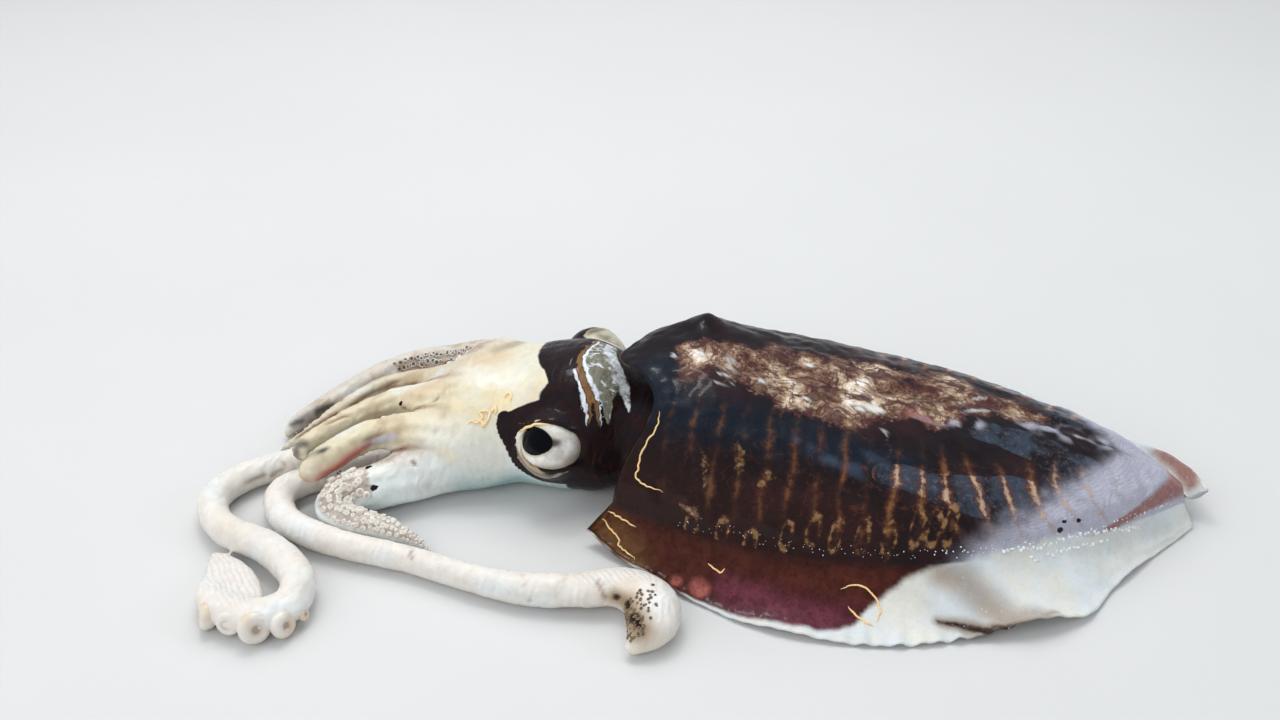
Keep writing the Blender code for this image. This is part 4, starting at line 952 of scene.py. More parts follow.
def relief_of_body(points, places):
    """How far each point of the body's skin is raised, in millimetres."""
    x, y, z = points.T
    across, level, _, inside = places.T
    back = (1 - soft(across, 0.75, 1.0)) * (1 - inside)
    raised = back * (0.75 * lumps(points, 9.0) + 0.35 * lumps(points, 3.5, 7.0))
    middle = table(BAND_MIDDLE, x)
    raised += back * 1.1 * (1 - soft(np.abs(y - middle), 1.0, 6.0)) * soft(x, -85, -40)
    flank = soft(across, 0.5, 0.8) * (1 - soft(across, 1.0, 1.1)) * (1 - inside)
    wrinkle = np.sin((x + 0.45 * z + 2.0 * lumps(points, 9.0, 3.0)) * 2.1)
    raised += flank * 0.16 * wrinkle * soft(x, 20, 45)
    fin = soft(across, 1.05, 1.35) * (across < 2.2) * (level > 0.4)
    raised += fin * 0.07 * np.sin(x * 1.9 + 1.5 * lumps(points, 8.0, 5.0)) * (1 - 0.6 * soft(x, 5, 30))
    for spot, spread, lift in (((-56, -66.5, 3), 2.6, 1.7), ((-64, -64, 2), 1.7, 1.0)):
        away = np.linalg.norm(points - np.array(spot), axis=1) / spread
        raised += lift * np.exp(-away ** 2) * (level > 0.4)
    return raised


def relief_of_front(points, arms, outward):
    """How far each point of the head and arms, or of a tentacle, is raised, in millimetres."""
    if not arms:
        raised = 0.20 * lumps(points, 4.5, 9.0) + 0.08 * lumps(points, 1.8, 4.0)
        return raised - 0.5 * strokes(points, LIMB_CREASES, 0.9)
    limb = soft(-points[:, 0], 142, 156)
    round_limb = np.arctan2(outward[:, 2], outward[:, 1])
    ridges = 0.26 * np.sin(7 * round_limb + 3.0 * lumps(points, 12.0, 5.0)) + 0.22 * lumps(points, 3.4, 17.0)
    raised = limb * ridges + (1 - limb) * (0.45 * lumps(points, 9.0, 3.0) + 0.12 * lumps(points, 3.0, 8.0))
    for eye in EYE_PLACES.values():
        raised *= soft(np.linalg.norm(points - np.array(eye), axis=1), 12.5, 16.0)
    return raised - 0.7 * strokes(points, CREASES, 0.9)


def body_paint(points, places, tones):
    """The masks and tint of the mantle and fins."""
    x, y, z = points.T
    across, level, _, inside = places.T
    broad = lumps(points, 14.0, 11.0)
    fine = lumps(points, 4.5, 2.0)
    on_fin = (across > 1.0) & (across < 2.2)
    under = (across > 2.2) | ((level < 0.4) & (across > 1.0))
    out = 1 - inside
    tint = np.tile(np.array(tones.mantle_dark), (len(points), 1))
    tint = tinted(tint, soft(broad, -0.1, 0.6) * 0.8, tones.mantle_plum)
    tint = tinted(tint, soft(across, 0.4, 0.85) * 0.55 * (1 - soft(x, -20, 20)), tones.mantle_warm)
    # Painted reflection: blue-green sheen on the dark shoulders
    tint = tinted(tint, strokes(points, TEAL_SHEEN, 0.9) * 0.9, tones.mantle_teal)
    tint = tinted(tint, soft(across, 0.93, 1.2) * on_fin, tones.fin_brown)
    plum = soft(across + 0.1 * broad, 1.25, 1.7) * on_fin * soft(x, -64, -40)
    tint = tinted(tint, plum, tones.fin_plum)
    swirls = strokes(points, SWIRLS, 0.7)
    half = table(BAND_HALF_WIDTH, x)
    off = np.abs(y - table(BAND_MIDDLE, x)) / half
    cream = (1 - soft(off + 0.3 * broad, 0.45, 1.3)) * (across < 0.9) * soft(x, -82, -68) * out
    cream *= (1 - 0.8 * soft(x, 38, 62)) * (0.82 + 0.18 * soft(x, -55, -20))
    cream = np.maximum(cream, strokes(points, CREAM_PATCHES))
    rusty = strokes(points, RED_PATCH, 0.8) * soft(fine, -0.6, 0.4) * 0.8
    # Worn patches and a painted wet glare, later laid into the greyish lilac
    peeled_and_glare = strokes(points, PEELED_SKIN_AND_GLARE, 0.7) * (across < 0.95)
    film = strokes(points, FILM, 0.25) * (1 - strokes(points, DARK_ISLANDS, 0.3)) * out
    mirrored = points * np.array([1, -1, 1]) + np.array([0, 1, 0]) * 2 * table(MIDLINE, x)[:, None]
    film = np.maximum(film, strokes(mirrored, FILM, 0.25) * (1 - strokes(mirrored, DARK_ISLANDS, 0.3)) * out)
    film *= across < 1.0
    starts = table(LILAC_FROM, x)
    lilac = soft(across + 0.05 * fine + 0.04 * broad, starts - 0.36, starts + 0.20) * soft(x, 8, 34)
    lilac = np.maximum(lilac, 0.7 * peeled_and_glare * soft(fine, -0.3, 0.4)) * out
    shift = 0.035 * fine + 0.03 * broad
    pale = soft(across + shift, table(PALE_FROM, x) - 0.05, table(PALE_FROM, x) + 0.13)
    edge = soft(across, 1.93 - 0.05 * soft(x, -20, 10), 2.0) * on_fin * soft(x, -52, -36)
    pale = np.maximum(np.where(across > 2.2, 1.0, pale), 0.9 * edge)
    # Painted white highlights on the back, broken up by noise
    glint_grain = soft(lumps(points, 1.7, 6.0), -0.45, 0.35)
    pale = np.maximum(pale, strokes(points, WHITE_GLINTS, 0.9) * (0.40 + 0.55 * glint_grain))
    pale = np.maximum(pale, swirls * soft(fine, -0.4, 0.5) * 0.6) * out
    tint = tinted(tint, np.where(under, 0.55 * soft(across, 1.0, 1.8), 0.0), tones.fin_shadow)
    corner = strokes(points, [[(-94, -44, 6, 4), (-87, -50, 5, 6), (-78, -58, 4, 5)],
                              [(-94, 42, 6, 4), (-87, 48, 5, 6), (-78, 56, 4, 5)]], 0.9)
    tint = tinted(tint, 0.9 * corner * out, tones.corner_gold)
    magenta = strokes(points, MAGENTA, 0.9) * on_fin
    tint = tinted(tint, magenta * 0.75, tones.fin_magenta)
    tint = tinted(tint, strokes(points, PINK_BUMP, 0.5), tones.bump_pink)
    bars = soft(across, 0.22, 0.45) * (1 - soft(across, 0.72, 0.9)) * soft(x, -84, -66)
    bars *= (1 - soft(x, 64, 76)) * out * (0.5 + 0.5 * soft(x, -30, 0))
    slant = 0.75 * soft(x, 0, 34)
    phase = (x + slant * (z - 30) + 1.5 * lumps(points, 13.0, 21.0)) / 8.0
    ovals = np.full(len(points), 9.0)
    for at, height in OVALS:
        away = np.hypot((x - at - 0.12 * (z - height)) / 2.3, (z - height) / 5.2)
        ovals = np.minimum(ovals, np.abs(away - 0.8))
    ovals = np.where((across > 0.5) & (across < 1.0) & (inside < 0.5), 1 - np.minimum(ovals, 1), 0)
    gold = np.maximum(strokes(points, GOLD_PATCHES, 0.7), strokes(mirrored, GOLD_PATCHES, 0.7)) * 0.42
    rim = strokes(points, TAIL_RIM, 0.8)
    shade = 0.7 * strokes(points, FIN_SHADOW, 0.9) * (across > 1.0)
    # Painted shadow along the fin's lifted edge, laid into the shade mask
    stain = strokes(points, FIN_EDGE_SHADOW, 0.9)
    shade = np.maximum(shade, stain)
    # Painted blue sheen, a reflection, broken up by noise
    blue = strokes(points, BLUE_SHEEN, 0.9) * soft(fine, -0.6, 0.3)
    tint = tinted(tint, blue * 0.6, tones.mantle_blue)
    # Painted shade: the inside of the mantle's opening is darkened
    tint = tinted(tint, inside, tones.hollow)
    lip = inside * (1 - soft(x + 78 + 9 * soft(z, 25, 45), -8, 6))
    tint = tinted(tint, lip * 0.8, tones.corner_gold)
    # Maroon specks, and the darkest core of the painted fin-edge shadow
    specks = np.maximum(strokes(points, MAROON_SPECKS, 0.6), 0.6 * stain ** 2)
    used = {"tint": tint, "ink": specks, "cream": cream, "film": film, "lilac": lilac, "pale": pale,
            "bars": bars, "phase": phase, "ovals": ovals, "gold": gold, "blue": np.maximum(blue, 0.5 * film),
            "rust": np.maximum(rim, rusty), "shade": shade,
            "wrinkle": soft(x, 10, 45) * soft(across, 0.3, 0.8) * (1 - soft(across, 0.85, 1.05)) + 0.12,
            "specks": 0.25 + 0.35 * (across > 1)}
    return {**dict.fromkeys(SKIN_MASKS, np.zeros(len(points))), **used}


def front_paint(points, tones, places, limbs):
    """The masks and tint of the head, neck, funnel, arms or tentacles."""
    x, y, z = points.T
    broad = lumps(points, 12.0, 31.0)
    fine = lumps(points, 4.0, 12.0)
    zeros = np.zeros(len(points))
    owner, share, outward, rival = places
    tint = np.tile(np.array(tones.head_cream), (len(points), 1))
    on_limb = soft(-x, 140, 152) if limbs[0] in ARMS else np.ones(len(points))
    inner = zeros.copy()
    for n, name in enumerate(limbs):
        mine = (owner == n) * on_limb
        if name in ARMS:
            tint = tinted(tint, mine, getattr(tones, ARMS[name].tint))
            fold, late = TURNED.get(name, (2.0, ARMS[name].oral))
            way = np.where((share > fold)[:, None], np.array(late, float), np.array(ARMS[name].oral, float))
            way = way / np.linalg.norm(way, axis=1)[:, None]
            inner = np.maximum(inner, mine * soft((outward * way).sum(axis=1), 0.3, 0.8))
        else:
            tint = tinted(tint, mine, tones.tentacle)
    tint = tinted(tint, soft(broad, 0.05, 0.6) * (0.5 if limbs[0] in ARMS else 0.3), tones.warm_flesh)
    tint = tinted(tint, soft(-broad, 0.1, 0.7) * 0.5, tones.cool_flesh)
    dark, folds, fold_line = (zeros.copy() for _ in range(3))
    shade = strokes(points, LIMB_CREASES, 0.8) * 0.7
    pleats = strokes(points, [BLADE_ROUTE, CLUB_VEIL], 0.3) * (limbs[0] not in ARMS)
    if limbs[0] not in ARMS:
        stained = strokes(points, CLUB_STAIN, 0.8)
        tint = tinted(tint, stained, tones.club_tan)
        dark = 0.66 * stained ** 2 * soft(fine + 0.5 * broad, -0.5, 0.3)
    if limbs[0] in ARMS:
        raised = soft(z - 0.25 * (x + 165), 14, 20) * soft(-x, 150, 165)
        low = (1 - soft(z, 14, 32)) * soft(-y, 12, 28) * (1 - raised)
        tint = tinted(tint, low * 0.6, tones.cool_flesh)
        tint = tinted(tint, soft(fine, 0.1, 0.8) * soft(z, 18, 34) * 0.35, tones.yellow_flesh)
        tint = tinted(tint, (1 - soft(z, 2, 20)) * (1 - on_limb) * 0.8, tones.head_teal)
        for marks, edge, strength, key in FRONT_TINTS:
            tint = tinted(tint, strokes(points, marks, edge) * strength, getattr(tones, key))
        greyed = strokes(points, DARK_TIPS, 0.9) * (0.55 + 0.4 * soft(fine, -0.4, 0.3))
        tint = tinted(tint, greyed, tones.tip_grey)
        tint = tinted(tint, strokes(points, TEAL_EDGE, 0.8) * 0.8, tones.head_teal)
        tint = tinted(tint, inner * 0.6, tones.oral_pink)
        tint = tinted(tint, soft(x, -103, -97), tones.neck_grey)
        tint = tinted(tint, soft(x, -96, -88) * soft(fine, -0.2, 0.5), tones.corner_gold)
        lines = [np.interp(y, FOLD_ROWS, row) for row in FOLD_LINES]
        fold_line = sum(np.clip((x - a) / (b - a), 0, 1) for a, b in zip(lines, lines[1:]))
        ends = 3.5 * np.sin(fold_line * 5.0) + 2.0 * fine
        folds = soft(z + ends, 29, 36) * soft(fold_line, 0.1, 0.6) * (1 - soft(fold_line, 5.2, 5.9))
        folds *= 1 - soft(y, 10, 15)
        folds *= 1 - soft(y, -11, -8) * (1 - soft(fold_line, 1.7, 1.9))
        far_lid = strokes(points, [[(-112, 25, 38, 3), (-107, 26, 38, 4.5), (-101, 23, 37, 4)]], 0.7)
        band = [[(*place, radius) for place, radius in route_samples(marks, 1.5)] for marks in HEAD_BAND]
        dark = strokes(points, band, 0.35) * (1 - far_lid)
        ring = strokes(points, LID_RING, 0.6)
        tint = tinted(tint, ring, tones.lid_tan)
        tint = tinted(tint, far_lid * (0.45 + 0.4 * soft(fine + 0.6 * broad, -0.3, 0.3)), tones.neck_grey)
        dark *= 1 - 0.85 * ring * (1 - soft(z, 20, 24))
        # Painted shade: the neck inside the mantle's opening goes dark
        dark = np.maximum(dark, soft(x, -90, -84))
        dark = np.maximum(dark, soft(x, -113.5, -110) * (1 - soft(y, 12, 17)) * soft(z, 20, 24))
        # Painted shade: the lower neck behind the head, in the hollow under the mantle's edge, goes dark
        dark = np.maximum(dark, soft(x, -105, -100) * (1 - soft(z - 0.5 * (x + 97), 25, 32)))
        dark = np.maximum(dark, strokes(points, INK_SPOTS, 0.4) * 0.95)
        # Painted shade in the gaps between neighbouring arms, darkest where they touch
        between = (1 - soft(rival + 0.6 * fine, 0.3, 3.0)) * soft(-x, 146, 166)
        shade = np.maximum(strokes(points, CREASES, 0.8), 0.34 * soft(fine + broad, 0.1, 0.9) * on_limb)
        shade = np.maximum(shade, 0.95 * between)
        crevice = (1 - soft(rival + 0.5 * fine, 0.0, 1.3)) * soft(-x, 150, 168) * soft(z, 5, 9)
        dark = np.maximum(dark, 0.6 * crevice)
        shade = np.maximum(shade, 0.75 * far_lid * soft(fine, -0.5, 0.4))
        lid = zeros.copy()
        for s in (-1, 1):
            reach = np.linalg.norm(points - np.array(EYE_PLACES[s]), axis=1)
            lid = np.maximum(lid, 1 - soft(reach, 11.3, 11.9))
        lid *= (np.abs(y) > 20) * (1 - soft(z, 19, 24))
        tint = tinted(tint, lid, tones.lid_tan)
        dark *= 1 - lid
        dark = np.maximum(dark, np.maximum(lid * soft(x, -119, -112), strokes(points, LID_SHADE, 0.6) * 0.8))
    used = {"tint": tint, "ink": dark, "folds": folds, "fold_line": fold_line, "shade": shade,
            "pleats": pleats, "wrinkle": 0.3 + 0.3 * soft(fine, 0, 1) + 0.4 * on_limb,
            "specks": 0.12 + 0.4 * inner}
    return {**dict.fromkeys(SKIN_MASKS, zeros), **used}


def surface_normals(points, faces):
    """The outward normals of a closed surface's points."""
    probe = mesh_object("probe", points, faces)
    normals = np.empty(len(points) * 3)
    probe.data.vertices.foreach_get("normal", normals)
    mesh = probe.data
    bpy.data.objects.remove(probe)
    bpy.data.meshes.remove(mesh)
    return normals.reshape(-1, 3)


def joined_skin(name, surfaces):
    """One object over several closed surfaces, each with its points, faces and paint."""
    points = np.concatenate([surface[0] for surface in surfaces])
    points[:, 2] = np.maximum(points[:, 2], FLOOR_LIFT)
    faces = []
    start = 0
    for places, around, _ in surfaces:
        faces += [tuple(start + i for i in face) for face in around]
        start += len(places)
    skin = mesh_object(name, points, faces)
    for key in surfaces[0][2]:
        values = np.concatenate([surface[2][key] for surface in surfaces])
        if key == "tint":
            store = skin.data.attributes.new(key, "FLOAT_COLOR", "POINT")
            store.data.foreach_set("color", np.hstack([values, np.ones((len(values), 1))]).ravel())
        else:
            store = skin.data.attributes.new(key, "FLOAT", "POINT")
            store.data.foreach_set("value", np.asarray(values, float))
    return skin


class Tree:
    """Adds nodes to one tree and links them."""

    def __init__(self, tree):
        self.tree = tree
        self.count = 0

    def put(self, socket, value):
        """Links a socket to another or gives it a value."""
        if isinstance(value, bpy.types.NodeSocket):
            self.tree.links.new(value, socket)
        elif value is not None:
            if socket.type == "RGBA" and len(value) == 3:
                value = (*value, 1.0)
            socket.default_value = value

    def add(self, kind, inputs=None, **settings):
        """Adds a node with its inputs and settings."""
        node = self.tree.nodes.new(kind)
        node.location = (180 * (self.count % 12), -260 * (self.count // 12))
        self.count += 1
        for key, value in settings.items():
            setattr(node, key, value)
        for key, value in (inputs or {}).items():
            self.put(node.inputs[key], value)
        return node

    def math(self, operation, a, b=None, clamp=False):
        return self.add("ShaderNodeMath", {0: a, 1: b}, operation=operation, use_clamp=clamp).outputs[0]

    def times(self, a, b):
        return self.math("MULTIPLY", a, b)

    def plus(self, a, b, clamp=False):
        return self.math("ADD", a, b, clamp)

    def minus(self, a, b):
        return self.math("SUBTRACT", a, b)

    def mix(self, factor, a, b, blend="MIX"):
        node = self.add("ShaderNodeMix", {0: factor, 6: a, 7: b}, data_type="RGBA", blend_type=blend)
        return node.outputs[2]

    def step(self, value, low, high):
        """0 below low, 1 above high and smooth between."""
        node = self.add("ShaderNodeMapRange", {"Value": value, "From Min": low, "From Max": high},
                        interpolation_type="SMOOTHSTEP")
        return node.outputs["Result"]

    def noise(self, vector, scale, detail=3.0, roughness=0.55, distortion=0.0):
        return self.add("ShaderNodeTexNoise", {"Vector": vector, "Scale": scale, "Detail": detail,
                                               "Roughness": roughness, "Distortion": distortion})

    def cloud(self, *settings):
        """The grey value of a noise texture."""
        return self.noise(*settings).outputs[0]

    def attribute(self, name):
        return self.add("ShaderNodeAttribute", attribute_name=name).outputs

    def use(self, group, inputs):
        node = self.add("ShaderNodeGroup", node_tree=group)
        for key, value in inputs.items():
            self.put(node.inputs[key], value)
        return node.outputs[0]


def node_group(name, kind, inputs, outputs):
    """An empty node group with named sockets, and its input and output nodes."""
    group = bpy.data.node_groups.new(name, kind)
    for label, socket, value in inputs:
        made = group.interface.new_socket(label, in_out="INPUT", socket_type=socket)
        if value is not None:
            made.default_value = value
    for label, socket in outputs:
        group.interface.new_socket(label, in_out="OUTPUT", socket_type=socket)
    tree = Tree(group)
    entry = tree.add("NodeGroupInput")
    leave = tree.add("NodeGroupOutput")
    return group, tree, entry, leave


def broken_edge_group():
    """A mask whose edge is broken up by noise, as pigment under wet skin is."""
    group, tree, entry, leave = node_group(
        "Broken edge", "ShaderNodeTree",
        [("Vector", "NodeSocketVector", None), ("Mask", "NodeSocketFloat", 0.0),
         ("Scale", "NodeSocketFloat", 400.0), ("Breakup", "NodeSocketFloat", 0.5),
         ("Softness", "NodeSocketFloat", 0.12)],
        [("Mask", "NodeSocketFloat")])
    spread = tree.noise(entry.outputs["Vector"], entry.outputs["Scale"], 5.0, 0.6)
    centred = tree.minus(spread.outputs[0], 0.5)
    shift = tree.times(centred, entry.outputs["Breakup"])
    moved = tree.plus(entry.outputs["Mask"], shift)
    low = tree.minus(0.5, entry.outputs["Softness"])
    high = tree.plus(0.5, entry.outputs["Softness"])
    tree.put(leave.inputs[0], tree.step(moved, low, high))
    return group


def pigment_dots_group():
    """Small round dots of pigment, more and larger where the density is high."""
    group, tree, entry, leave = node_group(
        "Pigment dots", "ShaderNodeTree",
        [("Vector", "NodeSocketVector", None), ("Scale", "NodeSocketFloat", 900.0),
         ("Density", "NodeSocketFloat", 0.3)],
        [("Dots", "NodeSocketFloat")])
    cells = tree.add("ShaderNodeTexVoronoi", {"Vector": entry.outputs["Vector"],
                                              "Scale": entry.outputs["Scale"]})
    chance = tree.add("ShaderNodeSeparateColor", {0: cells.outputs["Color"]}).outputs[0]
    size = tree.times(entry.outputs["Density"], tree.plus(chance, 0.1))
    inside = tree.minus(size, cells.outputs["Distance"])
    tree.put(leave.inputs[0], tree.step(inside, -0.06, 0.08))
    return group


def skin_relief_group():
    """The height of wet skin: fine grain, soft lumps and wavy wrinkles."""
    group, tree, entry, leave = node_group(
        "Skin relief", "ShaderNodeTree",
        [("Vector", "NodeSocketVector", None), ("Grain", "NodeSocketFloat", 1500.0),
         ("Wrinkle", "NodeSocketFloat", 0.3)],
        [("Height", "NodeSocketFloat")])
    place = entry.outputs["Vector"]
    grain = tree.cloud(place, entry.outputs["Grain"], 3.0, 0.6)
    lump = tree.cloud(place, 320.0, 2.0, 0.5)
    waves = tree.add("ShaderNodeTexWave", {"Vector": place, "Scale": 95.0, "Distortion": 9.0,
                                           "Detail": 2.0, "Detail Scale": 1.4},
                     bands_direction="X").outputs[1]
    folds = tree.times(waves, entry.outputs["Wrinkle"])
    height = tree.plus(tree.times(grain, 0.25), tree.times(lump, 0.55))
    tree.put(leave.inputs[0], tree.plus(height, folds))
    return group


def shared_groups():
    """The three shader groups, made once."""
    makers = {"Broken edge": broken_edge_group, "Pigment dots": pigment_dots_group,
              "Skin relief": skin_relief_group}
    return {name: bpy.data.node_groups.get(name) or make() for name, make in makers.items()}


def new_material(name, **finish):
    """A material with its tree and shader, and constants set on the shader's own sockets."""
    material = bpy.data.materials.new(name)
    material.use_nodes = True
    tree = Tree(material.node_tree)
    tree.count = 4
    shader = material.node_tree.nodes["Principled BSDF"]
    for key, value in finish.items():
        shader.inputs[key.replace("_", " ").title().replace("Ior", "IOR")].default_value = value
    return material, tree, shader


def skin_material(tones):
    """Wet skin that reads its colours and masks from the mesh."""
    groups = shared_groups()
    material, tree, shader = new_material("wet_skin", coat_weight=0.12, coat_roughness=0.10,
                                          specular_ior_level=0.16)
    place = tree.add("ShaderNodeTexCoord").outputs["Object"]
    mask = {key: tree.attribute(key)["Fac"] for key in SKIN_MASKS}
    colour = tree.attribute("tint")["Color"]

    def broken(key, scale, breakup, softness):
        return tree.use(groups["Broken edge"], {"Vector": place, "Mask": mask[key], "Scale": scale,
                                                "Breakup": breakup, "Softness": softness})

    def darker(value, amount):
        deep = tree.mix(1.0, value, (0.42, 0.36, 0.34), "MULTIPLY")
        return tree.mix(amount, value, deep)

    mottle = tree.step(tree.cloud(place, 260.0, 5.0, 0.65), 0.35, 0.68)
    colour = darker(colour, tree.times(mottle, tree.times(mask["specks"], 1.2)))
    film = broken("film", 190.0, 0.9, 0.12)
    wisp = tree.step(tree.cloud(place, 95.0, 4.0, 0.6), 0.38, 0.60)
    haze = tree.mix(wisp, tones.mantle_dark, tones.film)
    speckle = tree.step(tree.cloud(place, 520.0, 5.0, 0.75), 0.50, 0.70)
    haze = tree.mix(tree.times(speckle, 0.35), haze, tones.lilac_deep)
    colour = tree.mix(tree.times(film, 0.7), colour, haze)
    # Painted glints: pale blue flecks where the blue mask lies, over the painted blue sheen and half over the
    # grey film
    glint_grain = tree.step(tree.cloud(place, 420.0, 6.0, 0.8), 0.60, 0.70)
    colour = tree.mix(tree.times(tree.times(glint_grain, mask["blue"]), 0.7), colour, tones.torn_blue)

    beat = tree.math("ABSOLUTE", tree.minus(tree.math("FRACT", mask["phase"]), 0.5))
    ragged = tree.minus(tree.cloud(place, 330.0, 5.0, 0.65), 0.5)
    ridge = tree.plus(tree.times(beat, 2.0), tree.times(ragged, 1.5))
    patchy = tree.step(tree.cloud(place, 75.0, 2.0), 0.36, 0.62)
    bare = tree.math("MAXIMUM", film, mask["lilac"])
    clear = tree.math("MAXIMUM", patchy, bare)
    strength = tree.times(mask["bars"], clear)
    fringe = tree.times(tree.step(ridge, 0.45, 0.95), strength)
    colour = tree.mix(tree.times(fringe, 0.85), colour, tones.bar_rust)
    core = tree.times(tree.step(ridge, 0.76, 1.08), strength)
    colour = tree.mix(tree.times(core, 0.9), colour, tree.mix(bare, tones.gold_bar, tones.bar_cream))
    rings = tree.plus(mask["ovals"], tree.times(ragged, 1.4))
    colour = tree.mix(tree.times(tree.step(rings, 0.62, 0.95), 0.45), colour, tones.bar_rust)
    colour = tree.mix(tree.times(tree.step(rings, 0.80, 1.05), 0.85), colour, tones.gold_oval)
    middling = tree.cloud(place, 210.0, 6.0, 0.7)
    flakes = tree.step(tree.cloud(place, 480.0, 5.0, 0.75), 0.60, 0.72)
    warm = tree.times(tree.times(flakes, mask["bars"]), patchy)
    colour = tree.mix(tree.times(warm, 0.55), colour, tones.gold_bar)
    curl = tree.math("ABSOLUTE", tree.minus(tree.cloud(place, 95.0, 3.0, 0.6, 1.6), 0.5))
    veins = tree.minus(1.0, tree.step(curl, 0.012, 0.055))
    fine_veins = tree.minus(1.0, tree.step(curl, 0.004, 0.022))
    squiggles = tree.times(tree.times(fine_veins, mask["bars"]), tree.step(middling, 0.42, 0.60))
    colour = tree.mix(tree.times(squiggles, 0.6), colour, tones.bar_rust)
    gilt = tree.times(broken("gold", 520.0, 1.6, 0.2), 0.85)
    colour = tree.mix(gilt, colour, tones.gold_oval)

    def ramped(value, stops):
        ramp = tree.add("ShaderNodeValToRGB", {0: value})
        for at, shade in stops[2:]:
            ramp.color_ramp.elements.new(at)
        for stop, (at, shade) in zip(ramp.color_ramp.elements, sorted(stops)):
            stop.position = at
            stop.color = (*shade, 1.0)
        return ramp.outputs[0]

    large = tree.cloud(place, 48.0, 3.0, 0.5)
    blotch = tree.plus(tree.times(large, 1.05), tree.times(middling, 0.75))
    worn = tree.plus(blotch, tree.minus(tree.times(mask["cream"], 0.52), 0.90))
    # The worn band's ramp ends in painted white highlight, and flecks of painted highlight are laid over it
    band = ramped(worn, [(0.28, tones.mantle_dark), (0.37, tones.cream_dark), (0.47, tones.cream_low),
                         (0.56, tones.cream_band), (0.64, tones.cream_pale), (0.74, tones.cream_high)])
    flecks = tree.step(tree.cloud(place, 560.0, 6.0, 0.8), 0.52, 0.64)
    pits = tree.step(tree.cloud(place, 330.0, 6.0, 0.8), 0.55, 0.66)
    holes = tree.step(tree.cloud(place, 130.0, 4.0, 0.6, 0.8), 0.52, 0.60)
    band = tree.mix(tree.times(flecks, 0.22), band, tones.cream_high)
    band = tree.mix(tree.times(pits, 0.45), band, tones.cream_low)
    band = tree.mix(tree.times(holes, 0.85), band, tones.cream_dark)
    band = tree.mix(tree.times(veins, 0.75), band, tones.cream_dark)
    colour = tree.mix(tree.step(worn, 0.27, 0.38), colour, band)

    grain = tree.step(tree.cloud(place, 900.0, 3.0, 0.6), 0.35, 0.65)
    lines = tree.add("ShaderNodeTexWave", {"Vector": place, "Scale": 430.0, "Distortion": 9.0, "Detail": 2.0,
                                           "Detail Scale": 0.6}, bands_direction="Z").outputs[1]
    veil = tree.mix(tree.times(lines, 0.3), tones.lilac, tones.lilac_deep)
    gaps = tree.minus(1.0, tree.times(core, 0.7))
    lilac = tree.times(broken("lilac", 200.0, 0.4, 0.42), gaps)
    colour = tree.mix(tree.times(lilac, 0.88), colour, veil)
    pale = broken("pale", 420.0, 0.22, 0.42)
    shell = tree.mix(tree.step(tree.cloud(place, 60.0, 3.0), 0.38, 0.62), tones.pale_cool, tones.pale_warm)
    sheer = tree.step(tree.cloud(place, 38.0, 4.0, 0.55), 0.44, 0.70)
    shell = tree.mix(tree.times(sheer, 0.5), shell, tones.fin_grey)
    colour = tree.mix(pale, colour, shell)
    rust = broken("rust", 260.0, 0.5, 0.4)
    rusts = tree.mix(tree.times(grain, 0.6), tones.rust, tones.rust_deep)
    colour = tree.mix(tree.times(rust, 0.85), colour, rusts)
    run = tree.add("ShaderNodeVectorMath", {0: place, 1: (0.75, 0.66, 0.0)}, operation="DOT_PRODUCT")
    swerve = tree.times(tree.cloud(place, 120.0, 3.0), 13.0)
    pleat = tree.math("SINE", tree.plus(tree.times(run.outputs["Value"], 3600.0), swerve))
    pleat = tree.times(tree.step(pleat, -0.2, 1.0), mask["pleats"])
    # Painted blue-grey shade between the pleats of the right club's blade and the left club's veil
    colour = tree.mix(tree.times(pleat, 0.3), colour, tones.lilac)
    deep = tree.mix(1.0, colour, (0.40, 0.28, 0.21), "MULTIPLY")
    colour = tree.mix(mask["shade"], colour, deep)
    # The dark mask carries the head's pigment bands and spots and also painted shade in crevices, hollows and
    # along the fin edge
    ink = broken("ink", 420.0, 0.35, 0.14)
    colour = tree.mix(ink, colour, tree.mix(mottle, tones.ink, tones.ink_warm))
    wavy = tree.cloud(place, 240.0, 4.0, 0.6)
    across = tree.plus(mask["fold_line"], tree.times(tree.minus(wavy, 0.5), 1.5))
    streaks = ramped(tree.math("DIVIDE", across, 7.0),
                     [(0.02, tones.ink), (0.11, tones.ink), (0.14, tones.white_fold),
                      (0.195, tones.white_fold), (0.215, tones.ink_warm),
                      (0.25, tones.fold_brown), (0.40, tones.fold_brown),
                      (0.425, tones.ink_warm), (0.455, tones.white_fold), (0.515, tones.white_fold),
                      (0.545, tones.neck_grey), (0.67, tones.neck_grey), (0.70, tones.white_fold),
                      (0.76, tones.white_fold), (0.80, tones.neck_grey), (0.88, tones.ink_warm)])
    drawn = tree.add("ShaderNodeVectorMath", {0: place, 1: (1.0, 0.22, 0.22)}, operation="MULTIPLY")
    fibres = tree.step(tree.cloud(drawn.outputs[0], 1300.0, 3.0, 0.6), 0.42, 0.66)
    streaks = darker(streaks, tree.times(fibres, 0.5))
    marbled = tree.step(tree.cloud(place, 480.0, 5.0, 0.7), 0.44, 0.62)
    far_half = tree.step(across, 4.0, 4.6)
    streaks = tree.mix(tree.times(tree.times(marbled, far_half), 0.4), streaks,
                       tones.cream_dark)
    blots = tree.step(tree.cloud(place, 270.0, 4.0, 0.65, 0.8), 0.54, 0.62)
    blots = tree.times(blots, tree.step(across, 3.5, 3.9))
    streaks = tree.mix(tree.times(blots, 0.75), streaks, tones.white_fold)
    colour = tree.mix(broken("folds", 300.0, 0.5, 0.12), colour, streaks)
    dots = tree.use(groups["Pigment dots"], {"Vector": place, "Scale": 900.0,
                                             "Density": mask["specks"]})
